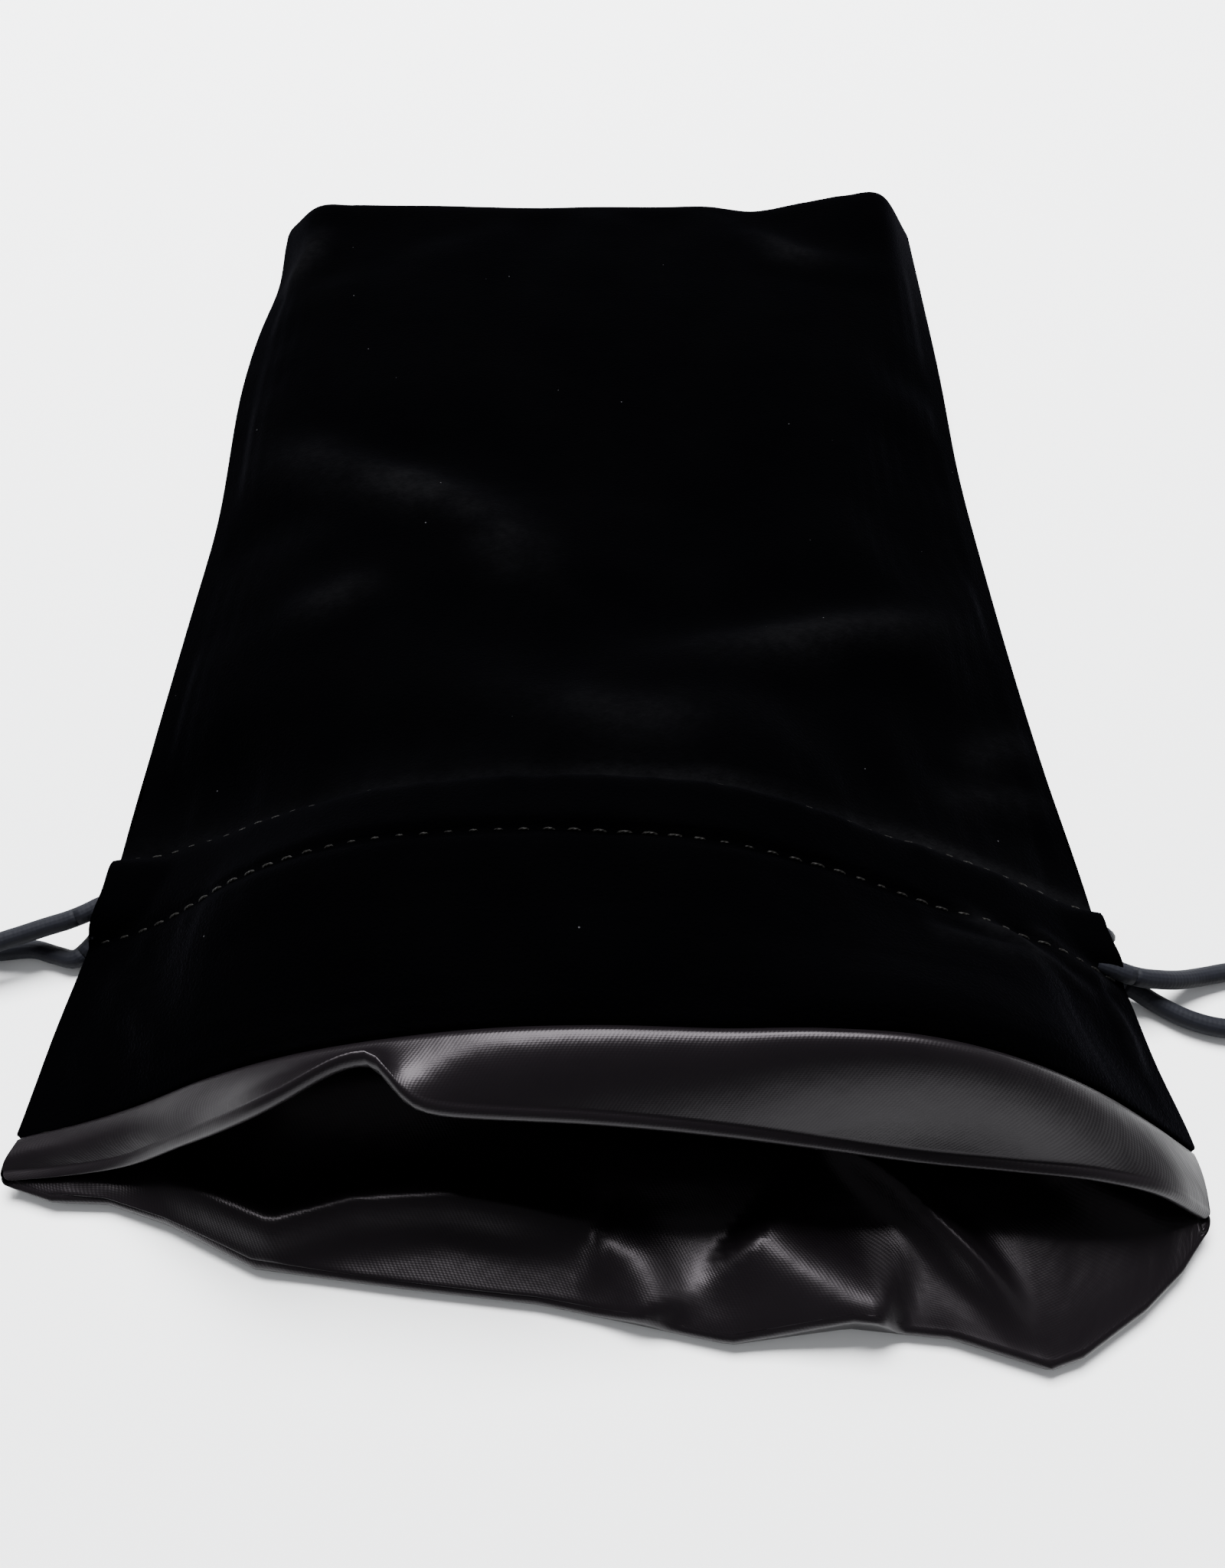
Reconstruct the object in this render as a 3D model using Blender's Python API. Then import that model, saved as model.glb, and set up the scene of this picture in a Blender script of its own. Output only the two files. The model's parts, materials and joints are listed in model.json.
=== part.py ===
"""Drawstring dice bag: velvet outside, satin lining, and two cords in a sewn casing.

The bag lies on its back panel, with its mouth towards -Y and its closed bottom seam towards +Y.
The origin is under the middle of the bag, on the surface that it lies on. Sizes are in millimetres
here, and each mesh is written in metres.

Front is the sheet that lies on top, back the sheet underneath, and left is -X. A place on the bag is
given by t, the ring of the cross-section table below that it is on, and by s, from -1 at the left side
seam to 1 at the right one. A depth is measured inwards from the velvet's outer face.
"""

import math

import bmesh
import bpy
from mathutils import Vector

MM = 0.001

# The bag's cross-sections, from the closed end to the lip. Each has the Y of its left side seam, of the
# middle of its front and of its back, and of its right side seam; its half width; its height; how round
# and how square its arch is; and the height of its side seams.
RING_FIELDS = ("left_y", "front_y", "back_y", "right_y", "half_width", "top", "arch_power", "arch_square", "seam_z")
RINGS = (
    (96.0, 96.6, 96.6, 96.0, 60.3, 9.5, 0.50, 3.0, 4.0),
    (60.0, 60.0, 60.0, 60.0, 60.3, 11.0, 0.50, 3.0, 4.0),
    (10.0, 10.0, 10.0, 10.0, 59.3, 13.0, 0.55, 2.6, 4.0),
    (-24.0, -24.0, -26.0, -28.0, 60.3, 18.0, 0.65, 2.2, 4.2),
    (-44.5, -45.3, -49.5, -52.0, 62.0, 22.0, 0.80, 2.0, 4.8),
    (-50.6, -49.5, -54.0, -56.7, 63.3, 22.8, 0.80, 2.0, 4.8),
    (-56.5, -53.8, -58.5, -61.5, 63.8, 23.3, 0.75, 2.0, 4.8),
    (-67.0, -64.0, -75.0, -71.0, 64.6, 24.0, 0.65, 2.1, 3.8),
    (-78.0, -74.5, -90.0, -80.5, 65.2, 23.5, 0.55, 2.3, 3.2),
    (-84.0, -83.5, -101.65, -88.0, 65.8, 20.5, 0.50, 2.5, 3.0),
)
UPPER_ROW, CASING_MIDDLE, LOWER_ROW, VELVET_END, LIP = 4, 5, 6, 8, 9

CLOSED_END_LENGTH = 5.9     # from the first ring to the bottom seam
CLOSED_END_CORNER = 6.0     # how far the bottom seam's ends are drawn in
SEAM_GAP = 1.1              # between the front and back panels, where the seam thread runs
FLAT_BACK = 0.8             # the part of the half width over which the back lies flat

VELVET_THICKNESS = 1.2
LINING_DEPTH, LINING_THICKNESS = 1.6, 0.4
FACING_DEPTH = 0.3          # the lining's band outside the lip
FACING_FOLD = 4             # steps around the lip

CASING_BULGE = 1.4          # the front velvet over the cords
CASING_FRONT_DROP = 1.7     # the lining under them
CASING_BACK_RISE = 3.1
CASING_SEAM_RISE = 1.2
CASING_SLOT = 5.3           # how much wider the side seams stand open where the cords come out

THREAD_RADIUS = 0.25
THREAD_CLEARANCE = 0.3
CORD_RADIUS = 1.25
CORD_STEP = 5.5             # between the points of a cord's tube
CORD_JOINT_GAP = 0.9        # between the tubes that make one cord
LANE = 1.42                 # the cords' distance from the middle of the casing
LANE_RISE = 0.12            # how much the cord nearer the mouth lies above the middle, on top
LANE_SHIFT = 0.3            # how far both cords pull towards the mouth at the side seams
SLOT_X = 62.8               # where a cord leaves the casing
TURN_X = 56.0               # where a cord's turn at the other end of the casing begins
TURN_STEP = 1.8

KNOT_LENGTH, KNOT_RADIUS, KNOT_FACE_RADIUS = 7.5, 3.6, 3.1
KNOT_HEIGHT = 3.7
KNOT_GAP = 0.6              # between the tails' ends and the knot
COIL_RADII = {"front": 14.0, "back": 17.0}
COIL_TURN = 235.0           # degrees

COLUMNS = 16
ROWS = (-1, -0.75, -0.5, -0.25, 0, 0.5, 1, 1.5, 2, 2.5, 3, 3.5, 4, 4.12, 4.35, 5, 5.65, 5.88, 6, 6.5, 7, 7.5, 8)
SMOOTHING = 16              # points worked out between two points of a cord's route

# Free stretches of the cords, from the middle of each casing slot to where the coil begins: X, Y, Z.
LEFT_FRONT_TAIL = (
    (-60.6, -49.4, 8.0), (-62.3, -49.6, 7.0), (-63.9, -50.1, 6.2), (-66.4, -51.5, 5.4), (-69.2, -53.5, 4.8),
    (-72.0, -55.6, 4.6), (-74.8, -57.4, 4.0), (-78.0, -58.6, 2.4), (-82.0, -59.0, 1.4), (-90.0, -59.0, 1.3),
)
LEFT_BACK_TAIL = (
    (-58.6, -49.4, 2.95), (-61.4, -49.4, 3.1), (-64.2, -49.8, 3.1), (-66.6, -51.6, 2.3), (-68.5, -54.3, 1.4),
    (-70.8, -56.3, 1.3), (-73.6, -56.4, 1.3), (-76.6, -55.7, 1.3), (-80.5, -55.5, 1.3), (-90.0, -55.9, 1.3),
)
RIGHT_FRONT_TAIL = (
    (60.6, -58.4, 8.0), (62.3, -58.5, 7.0), (63.9, -58.8, 6.3), (66.2, -59.5, 5.4), (69.0, -59.8, 3.6),
    (72.2, -59.2, 1.8), (76.0, -57.9, 1.3), (82.0, -57.3, 1.3), (90.0, -57.6, 1.3),
)
RIGHT_BACK_TAIL = (
    (58.6, -58.4, 2.95), (61.4, -58.4, 3.15), (64.4, -58.6, 3.2), (66.8, -60.6, 2.4), (68.4, -63.4, 1.4),
    (70.8, -65.7, 1.3), (74.0, -66.0, 1.3), (80.0, -64.4, 1.3), (88.0, -61.8, 1.3),
)
COIL_CENTRES = {"left": (-99.0, -73.0), "right": (99.0, -74.9)}
TAIL_COIL_RADII = {
    "left_front": 14.0,
    "left_back": 17.0,
    "right_front": 17.0,
    "right_back": 14.0,
}


# --- The bag's surface -------------------------------------------------------------------------------

def smooth_value(values, places, i, u):
    """The value at u, from 0 to 1, between values i and i + 1, on a smooth curve through them all."""
    def slope(k):
        if k == 0 or k == len(values) - 1:
            k = min(k, len(values) - 2)
            return (values[k + 1] - values[k]) / (places[k + 1] - places[k])
        before, after = places[k] - places[k - 1], places[k + 1] - places[k]
        return (
            (values[k] - values[k - 1]) * (after / before) + (values[k + 1] - values[k]) * (before / after)
        ) / (before + after)

    width = places[i + 1] - places[i]
    return (
        values[i] * (1 + 2 * u) * (1 - u) ** 2
        + values[i + 1] * u**2 * (3 - 2 * u)
        + slope(i) * (width * u * (1 - u) ** 2)
        + slope(i + 1) * (width * u**2 * (u - 1))
    )


def ring(t):
    """The cross-section at t, by name."""
    t = min(max(t, 0.0), len(RINGS) - 1)
    i = min(int(t), len(RINGS) - 2)
    places = [-row[1] for row in RINGS]
    return {
        field: smooth_value([row[n] for row in RINGS], places, i, t - i)
        for n, field in enumerate(RING_FIELDS)
    }


def casing_share(t):
    """1 along the middle of the casing, 0 at its stitch rows and beyond them."""
    return max(0.0, 1.0 - abs(t - CASING_MIDDLE) ** 6)


def arch(section, s):
    """The front's height along the width, from 1 in the middle to 0 at the seams."""
    return max(0.0, 1.0 - abs(s) ** section["arch_square"]) ** section["arch_power"]


def flat_share(s):
    """1 where the back lies flat, falling to 0 at the seams."""
    over = max(0.0, abs(s) - FLAT_BACK) / (1.0 - FLAT_BACK)
    return math.sqrt(max(0.0, 1.0 - over**2))


def along_width(section, middle, s):
    """Y at s, on a curve through the seams and the middle."""
    left, right = section["left_y"], section["right_y"]
    return left + (right - left) * (s + 1) / 2 + (middle - (left + right) / 2) * (1 - s**2)


def surface_point(side, t, s, side_depth, face_depth, gap, seam_rise=0.0, forward=0.0):
    """A point of the front or back sheet, side_depth in from the seams and face_depth in from the face."""
    section = ring(t)
    closing = math.radians(90.0) * max(0.0, -t)
    half_width = section["half_width"] - CLOSED_END_CORNER * (1 - math.cos(closing)) - side_depth
    y = along_width(section, section[f"{side}_y"], s) - forward
    y += (CLOSED_END_LENGTH - side_depth) * math.sin(closing)
    seam_z = section["seam_z"] + seam_rise
    if side == "front":
        edge_z = seam_z + gap / 2
        z = edge_z + (section["top"] - face_depth - edge_z) * arch(section, s) * math.cos(closing)
    else:
        edge_z = seam_z - gap / 2
        z = edge_z - (edge_z - face_depth) * flat_share(s) * math.cos(closing)
    return Vector((half_width * s, y, z))


def velvet_point(side, t, s, depth):
    """A point in the velvet, which stands open at the casing's ends and bulges over the cords in front."""
    share = casing_share(t)
    bulge = CASING_BULGE * share if side == "front" else 0.0
    return surface_point(side, t, s, depth - bulge, depth - bulge, SEAM_GAP + CASING_SLOT * share)


def lining_point(side, t, s, depth, forward=0.0):
    """A point in the lining, which makes room for the cords at the casing."""
    share = casing_share(t)
    face = CASING_FRONT_DROP if side == "front" else CASING_BACK_RISE
    return surface_point(
        side, t, s, depth + CASING_FRONT_DROP * share, depth + face * share,
        SEAM_GAP, CASING_SEAM_RISE * share, forward,
    )


# --- Objects -----------------------------------------------------------------------------------------

def material(name, colour, roughness):
    made = bpy.data.materials.new(name)
    made.use_nodes = True
    shader = made.node_tree.nodes["Principled BSDF"]
    shader.inputs["Base Color"].default_value = (*colour, 1.0)
    shader.inputs["Roughness"].default_value = roughness
    shader.inputs["Metallic"].default_value = 0.0
    return made


def add_object(name, data, finish):
    data.materials.append(finish)
    made = bpy.data.objects.new(name, data)
    bpy.context.scene.collection.objects.link(made)
    return made


def mesh_from(name, points, faces):
    """A closed mesh in metres with its faces pointing out."""
    mesh = bpy.data.meshes.new(name)
    mesh.from_pydata([Vector(p) * MM for p in points], [], faces)
    shape = bmesh.new()
    shape.from_mesh(mesh)
    bmesh.ops.recalc_face_normals(shape, faces=shape.faces)
    shape.to_mesh(mesh)
    shape.free()
    mesh.shade_smooth()
    return mesh


def columns(count=COLUMNS, limit=1.0):
    """Values of s, closer together towards the seams, where the arch is steep."""
    return [limit * math.sin(math.radians(180.0 * n / count - 90.0)) for n in range(count + 1)]


def sheet(name, outer, inner, finish):
    """A closed sheet between two grids of points that have the same rows and columns."""
    rows, width = len(outer), len(outer[0])
    points = [point for grid in (outer, inner) for row in grid for point in row]
    side = rows * width
    faces = []
    for grid_start in (0, side):
        for r in range(rows - 1):
            for c in range(width - 1):
                a = grid_start + r * width + c
                faces.append((a, a + 1, a + width + 1, a + width))
    border = [r * width for r in range(rows)]
    border += [(rows - 1) * width + c for c in range(1, width)]
    border += [r * width + width - 1 for r in range(rows - 2, -1, -1)]
    border += list(range(width - 2, 0, -1))
    for a, b in zip(border, border[1:] + border[:1]):
        faces.append((a, b, side + b, side + a))
    return add_object(name, mesh_from(name, points, faces), finish)


def tube(name, points, radius, resolution, finish):
    """A round tube along points, with closed ends."""
    curve = bpy.data.curves.new(name, "CURVE")
    curve.dimensions = "3D"
    curve.bevel_depth = radius * MM
    curve.bevel_resolution = resolution
    curve.use_fill_caps = True
    spline = curve.splines.new("POLY")
    spline.points.add(len(points) - 1)
    for place, point in zip(spline.points, points):
        place.co = (*(Vector(point) * MM), 1.0)
    return add_object(name, curve, finish)


def smooth_route(points):
    """Many points on a smooth curve through the given ones."""
    points = [Vector(p) for p in points]
    places = [0.0]
    for a, b in zip(points, points[1:]):
        places.append(places[-1] + (b - a).length)
    route = []
    for i in range(len(points) - 1):
        for n in range(SMOOTHING):
            route.append(smooth_value(points, places, i, n / SMOOTHING))
    return [*route, points[-1]]


def stretch(route, start, end, spacing=CORD_STEP):
    """Evenly spaced points on the part of a route from start to end, both distances along it."""
    count = max(2, round((end - start) / spacing))
    wanted = [start + (end - start) * n / count for n in range(count + 1)]
    picked, done = [], 0.0
    for a, b in zip(route, route[1:]):
        step = (b - a).length
        while wanted and (wanted[0] <= done + step):
            picked.append(a.lerp(b, (wanted.pop(0) - done) / step))
        done += step
    return picked + [route[-1]] * len(wanted)


def distances_at(route, x):
    """How far along a route it first and last crosses the plane at x, and its whole length."""
    crossings, done = [], 0.0
    for a, b in zip(route, route[1:]):
        if (a.x - x) * (b.x - x) < 0:
            crossings.append(done + (b - a).length * (x - a.x) / (b.x - a.x))
        done += (b - a).length
    return crossings[0], crossings[-1], done


# --- Fabric and thread -------------------------------------------------------------------------------

def make_velvet(side, finish):
    outer = [[velvet_point(side, t, s, 0.0) for s in columns()] for t in ROWS]
    inner = [[velvet_point(side, t, s, VELVET_THICKNESS) for s in columns()] for t in ROWS]
    sheet(f"velvet_{side}_panel", outer, inner, finish)


def make_lining(side, finish):
    """The lining, which folds out over the lip and ends in a band against the velvet's edge."""
    inside = LINING_DEPTH + LINING_THICKNESS
    fold_middle = (FACING_DEPTH + inside) / 2
    faces = []
    for band_depth, inside_depth in (
        (FACING_DEPTH, inside),
        (FACING_DEPTH + LINING_THICKNESS, LINING_DEPTH),
    ):
        fold_radius = (inside_depth - band_depth) / 2
        rows = [(VELVET_END, band_depth, SEAM_GAP), (VELVET_END + 0.6, band_depth, 0.0)]
        for n in range(FACING_FOLD + 1):
            turn = math.pi * n / FACING_FOLD
            rows.append((LIP, fold_middle - fold_radius * math.cos(turn), fold_radius * math.sin(turn)))
        rows += [(t, inside_depth, 0.0) for t in (VELVET_END + 0.6, *reversed(ROWS))]
        faces.append([[lining_point(side, t, s, depth, forward) for s in columns()] for t, depth, forward in rows])
    sheet(f"lining_{side}_panel", *faces, finish)


def make_stitch_rows(finish):
    """The casing's two stitch rows. The front ones show on the velvet, the back ones inside, on the lining."""
    along = columns(limit=0.985)
    proud = THREAD_CLEARANCE + THREAD_RADIUS + 0.15
    for row, t in (("upper", UPPER_ROW - 0.03), ("lower", LOWER_ROW + 0.06)):
        front = [velvet_point("front", t, s, -proud) for s in along]
        tube(f"{row}_casing_stitch_front", front, THREAD_RADIUS, 0, finish)
        depth = LINING_DEPTH + LINING_THICKNESS + proud
        back = [lining_point("back", t, 0.94 * s, depth) for s in along]
        tube(f"{row}_casing_stitch_back", back, THREAD_RADIUS, 0, finish)


def make_facing_seams(finish):
    """The seams that join the velvet's edge to the lining's band."""
    depth = FACING_DEPTH + LINING_THICKNESS / 2
    for side in ("front", "back"):
        points = [lining_point(side, VELVET_END, s, depth, SEAM_GAP / 2) for s in columns(limit=0.985)]
        tube(f"facing_seam_{side}", points, THREAD_RADIUS, 0, finish)


def seam_middle(t, s, depth):
    """A point between the edges of the front and back sheets."""
    front = surface_point("front", t, s, depth, depth, 0.0)
    back = surface_point("back", t, s, depth, depth, 0.0)
    return (front + back) / 2


def make_side_seams(finish):
    """The seam threads between the front and back panels, at both sides and at the closed end."""
    pouch_rows = [t for t in ROWS if -0.76 < t < 3.6] + [3.9]
    ruffle_rows = [6.15, 6.5, 7, 7.5, 7.9]
    lining_rows = [t for t in ROWS if -0.76 < t]
    inside = LINING_DEPTH + LINING_THICKNESS / 2
    for side, s in (("left", -1.0), ("right", 1.0)):
        for place, rows, depth in (
            (f"{side}_side_seam", pouch_rows, VELVET_THICKNESS / 2),
            (f"{side}_ruffle_seam", ruffle_rows, VELVET_THICKNESS / 2),
        ):
            tube(place, [seam_middle(t, s, depth) for t in rows], THREAD_RADIUS, 0, finish)
        points = []
        for t in lining_rows:
            front, back = (lining_point(sheet_side, t, s, inside) for sheet_side in ("front", "back"))
            points.append((front + back) / 2)
        tube(f"{side}_lining_seam", points, THREAD_RADIUS, 0, finish)
    for name, depth in (("bottom_seam", VELVET_THICKNESS / 2), ("lining_bottom_seam", inside)):
        points = [seam_middle(-1.0, s, depth) for s in columns(limit=0.97)]
        tube(name, points, THREAD_RADIUS, 0, finish)


# --- Cords -------------------------------------------------------------------------------------------

def casing_route(side, lane, limit=0.93):
    """A cord's centre line inside the casing, from left to right."""
    section = ring(CASING_MIDDLE)
    front_depth = (LINING_DEPTH + CASING_FRONT_DROP + VELVET_THICKNESS - CASING_BULGE) / 2
    back_height = (LINING_DEPTH + CASING_BACK_RISE + VELVET_THICKNESS) / 2
    edge_z = section["seam_z"] + 2.5
    points = []
    for s in columns(12, limit):
        y = along_width(section, section[f"{side}_y"], s) + lane - LANE_SHIFT * s**2
        z = back_height
        if side == "front":
            z = edge_z + (section["top"] - front_depth - edge_z) * arch(section, s)
            z -= math.copysign(LANE_RISE, lane)
        points.append((s * (section["half_width"] - front_depth), y, z))
    return points


def u_turn(sign, lane):
    """A cord's turn from the front to the back of the casing, round the lining's side seam."""
    section = ring(CASING_MIDDLE)
    seam_y = section["right_y" if sign > 0 else "left_y"] + lane - LANE_SHIFT
    return [(sign * x, seam_y, z) for x, z in ((60.7, 8.1), (62.0, 6.2), (61.2, 3.9), (58.8, 2.9))]


def coil_end(side, radius):
    """The end of a cord's turn on the table, up to the knot."""
    centre_x, centre_y = COIL_CENTRES[side]
    sign = -1 if side == "left" else 1
    steps = 12
    points = []
    for n in range(steps + 1):
        angle = math.radians(COIL_TURN * n / steps)
        near_knot = max(0.0, (n - steps + 2) / 2)
        rise = (KNOT_HEIGHT - CORD_RADIUS) * near_knot**2 * (3 - 2 * near_knot)
        points.append((
            centre_x + sign * radius * math.sin(angle),
            centre_y + radius * math.cos(angle),
            CORD_RADIUS + 0.05 + rise,
        ))
    return points


def make_cord(side, tails, lane, finish):
    """One cord: two free tails from one side's slot, and a loop through the whole casing between them."""
    sign = -1 if side == "left" else 1
    front_leg = casing_route("front", lane)
    back_leg = casing_route("back", lane)
    if sign > 0:
        front_leg, back_leg = front_leg[::-1], back_leg[::-1]
    front_end = [*tails["front"], *coil_end(side, TAIL_COIL_RADII[f"{side}_front"])]
    back_end = [*tails["back"], *coil_end(side, TAIL_COIL_RADII[f"{side}_back"])]
    route = smooth_route([*front_end[::-1], *front_leg, *u_turn(-sign, lane), *back_leg[::-1], *back_end])
    front_exit, back_exit, whole = distances_at(route, sign * SLOT_X)
    turn_start, turn_end, _ = distances_at(route, -sign * TURN_X)
    half = CORD_JOINT_GAP / 2
    loop = stretch(route, front_exit + half, turn_start)
    loop += stretch(route, turn_start, turn_end, TURN_STEP)[1:-1]
    loop += stretch(route, turn_end, back_exit - half)
    tube(f"{side}_cord_front_tail", stretch(route, 0.0, front_exit - half), CORD_RADIUS, 2, finish)
    tube(f"{side}_cord_loop", loop, CORD_RADIUS, 2, finish)
    tube(f"{side}_cord_back_tail", stretch(route, back_exit + half, whole), CORD_RADIUS, 2, finish)


def make_knot(side, finish):
    """The knot that joins a cord's two ends, with the short ends standing out of it."""
    sign = -1 if side == "left" else 1
    centre_x, centre_y = COIL_CENTRES[side]
    angle = math.radians(COIL_TURN)
    middle_radius = sum(COIL_RADII.values()) / 2
    heading = Vector((sign * math.cos(angle), -math.sin(angle), 0.0))
    across = Vector((-heading.y, heading.x, 0.0))
    start = Vector((
        centre_x + sign * middle_radius * math.sin(angle),
        centre_y + middle_radius * math.cos(angle),
        KNOT_HEIGHT,
    )) + heading * KNOT_GAP

    steps, sides = 6, 12
    points, faces = [], []
    for n in range(steps + 1):
        bulge = math.sin(math.pi * n / steps)
        radius = KNOT_FACE_RADIUS + (KNOT_RADIUS - KNOT_FACE_RADIUS) * bulge
        middle = start + heading * (KNOT_LENGTH * n / steps)
        for m in range(sides):
            turn = 2 * math.pi * m / sides
            points.append(middle + radius * (across * math.cos(turn) + Vector((0, 0, 1)) * math.sin(turn)))
    for n in range(steps):
        for m in range(sides):
            a, b = n * sides + m, n * sides + (m + 1) % sides
            faces.append((a, b, b + sides, a + sides))
    faces.append(tuple(range(sides)))
    faces.append(tuple(range(steps * sides, (steps + 1) * sides)))
    knot = add_object(f"{side}_cord_knot", mesh_from(f"{side}_cord_knot", points, faces), finish)

    for n, offset in enumerate((-1.6, 1.6)):
        base = start + heading * (KNOT_LENGTH - 2.0) + across * offset
        end_points = [
            base,
            base + heading * 3.0,
            base + heading * 6.5 + across * offset * 0.4 - Vector((0, 0, KNOT_HEIGHT - CORD_RADIUS - 0.5)),
            base + heading * 10.0 + across * offset * 0.9 - Vector((0, 0, KNOT_HEIGHT - CORD_RADIUS - 0.1)),
        ]
        end = tube(f"guide_{side}_{n}", end_points, CORD_RADIUS, 2, finish)
        end_mesh = bpy.data.meshes.new_from_object(end)
        bpy.data.objects.remove(end)
        end = add_object(f"guide_{side}_end_{n}", end_mesh, finish)
        end.hide_render = True
        end.display_type = "WIRE"
        union = knot.modifiers.new(f"end_{n}", "BOOLEAN")
        union.operation = "UNION"
        union.object = end


# --- The whole bag -----------------------------------------------------------------------------------

def main():
    for old in list(bpy.data.objects):
        bpy.data.objects.remove(old)
    velvet = material("black_velvet", (0.012, 0.012, 0.014), 0.95)
    satin = material("charcoal_satin", (0.075, 0.065, 0.075), 0.35)
    thread = material("black_thread", (0.03, 0.03, 0.033), 0.6)
    cord = material("navy_cord", (0.02, 0.022, 0.035), 0.7)
    for side in ("front", "back"):
        make_velvet(side, velvet)
        make_lining(side, satin)
    make_stitch_rows(thread)
    make_facing_seams(thread)
    make_side_seams(thread)
    make_cord("left", {"front": LEFT_FRONT_TAIL, "back": LEFT_BACK_TAIL}, LANE, cord)
    make_cord("right", {"front": RIGHT_FRONT_TAIL, "back": RIGHT_BACK_TAIL}, -LANE, cord)
    make_knot("left", cord)
    make_knot("right", cord)


main()
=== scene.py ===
"""The looks of the drawstring dice bag: black velvet, charcoal satin lining, navy drawcords.

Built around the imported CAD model, in its frame: metres, +Z up, mouth towards -Y, lying on its back.
Sizes here are in millimetres until a mesh is made. Front is the sheet on top, back the one underneath.
A place on the bag is given by t, the ring it is on, and s, from -1 at the left seam to 1 at the right.
"""

import json
import math

import bpy
import numpy as np
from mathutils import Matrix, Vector

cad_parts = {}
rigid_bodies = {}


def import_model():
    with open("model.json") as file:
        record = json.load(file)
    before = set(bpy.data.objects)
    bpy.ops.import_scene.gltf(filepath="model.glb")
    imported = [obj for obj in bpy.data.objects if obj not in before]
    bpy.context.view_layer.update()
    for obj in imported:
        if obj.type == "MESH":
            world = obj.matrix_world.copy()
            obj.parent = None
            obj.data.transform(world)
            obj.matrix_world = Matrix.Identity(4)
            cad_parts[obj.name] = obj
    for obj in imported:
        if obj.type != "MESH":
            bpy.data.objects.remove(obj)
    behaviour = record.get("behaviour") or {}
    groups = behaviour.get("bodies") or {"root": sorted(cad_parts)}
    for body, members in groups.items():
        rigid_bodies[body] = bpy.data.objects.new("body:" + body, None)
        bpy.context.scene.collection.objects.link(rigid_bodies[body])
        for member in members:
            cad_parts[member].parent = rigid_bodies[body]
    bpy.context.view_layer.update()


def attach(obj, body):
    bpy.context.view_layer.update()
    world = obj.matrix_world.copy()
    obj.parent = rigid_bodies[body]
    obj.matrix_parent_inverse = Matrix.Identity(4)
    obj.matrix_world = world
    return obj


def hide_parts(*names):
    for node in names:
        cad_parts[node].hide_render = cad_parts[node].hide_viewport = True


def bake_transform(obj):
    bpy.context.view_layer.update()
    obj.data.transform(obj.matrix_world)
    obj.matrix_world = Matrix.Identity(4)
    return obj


for old in list(bpy.data.objects):
    bpy.data.objects.remove(old)
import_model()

MM = 0.001

# --- Camera ---

CAMERA_PLACE = (0.0, -122.4, 132.4)
CAMERA_DOWN = 55.0          # degrees below the horizon
CAMERA_LENS = 27.3
CAMERA_SHIFT = 0.0098


def add_camera():
    data = bpy.data.cameras.new("camera")
    data.lens = CAMERA_LENS
    data.sensor_width = 36.0
    data.shift_x = CAMERA_SHIFT
    data.clip_start = 0.005
    made = bpy.data.objects.new("camera", data)
    made.location = [c * MM for c in CAMERA_PLACE]
    made.rotation_euler = (math.radians(90.0 - CAMERA_DOWN), 0.0, 0.0)
    bpy.context.scene.collection.objects.link(made)
    bpy.context.scene.camera = made


add_camera()


# --- Smooth curves and tubes ---

def hermite(start, end, start_slope, end_slope, step, u):
    """The smooth value a share u of the way from start to end."""
    return (
        start * (1 + 2 * u) * (1 - u) ** 2
        + end * u**2 * (3 - 2 * u)
        + start_slope * step * u * (1 - u) ** 2
        + end_slope * step * u**2 * (u - 1)
    )


def smooth_at(values, places, where):
    """Values at each of the places asked for, on a smooth curve through the given ones."""
    values, places = np.asarray(values, float), np.asarray(places, float)
    steps = np.diff(places)
    slopes = np.diff(values, axis=0) / steps.reshape(-1, *[1] * (values.ndim - 1))
    tangents = np.empty_like(values)
    tangents[0], tangents[-1] = slopes[0], slopes[-1]
    weight = (steps[1:] / (steps[1:] + steps[:-1])).reshape(-1, *[1] * (values.ndim - 1))
    tangents[1:-1] = slopes[:-1] * weight + slopes[1:] * (1 - weight)
    where = np.clip(np.asarray(where, float), places[0], places[-1])
    i = np.clip(np.searchsorted(places, where, side="right") - 1, 0, len(places) - 2)
    shape = (*where.shape, *[1] * (values.ndim - 1))
    h = steps[i].reshape(shape)
    u = ((where - places[i]) / steps[i]).reshape(shape)
    return hermite(values[i], values[i + 1], tangents[i], tangents[i + 1], h, u)


def along(points):
    """Distance along a line of points."""
    points = np.asarray(points, float)
    return np.concatenate([[0.0], np.cumsum(np.linalg.norm(np.diff(points, axis=0), axis=1))])


def smooth_line(points, spacing):
    """A smooth line through points, with its own points evenly spaced."""
    places = along(points)
    fine = smooth_at(points, places, np.linspace(0, places[-1], max(8, int(places[-1] / 0.1))))
    far = along(fine)
    wanted = np.linspace(0, far[-1], max(2, round(far[-1] / spacing) + 1))
    return np.stack([np.interp(wanted, far, fine[:, k]) for k in range(3)], axis=1)


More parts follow.
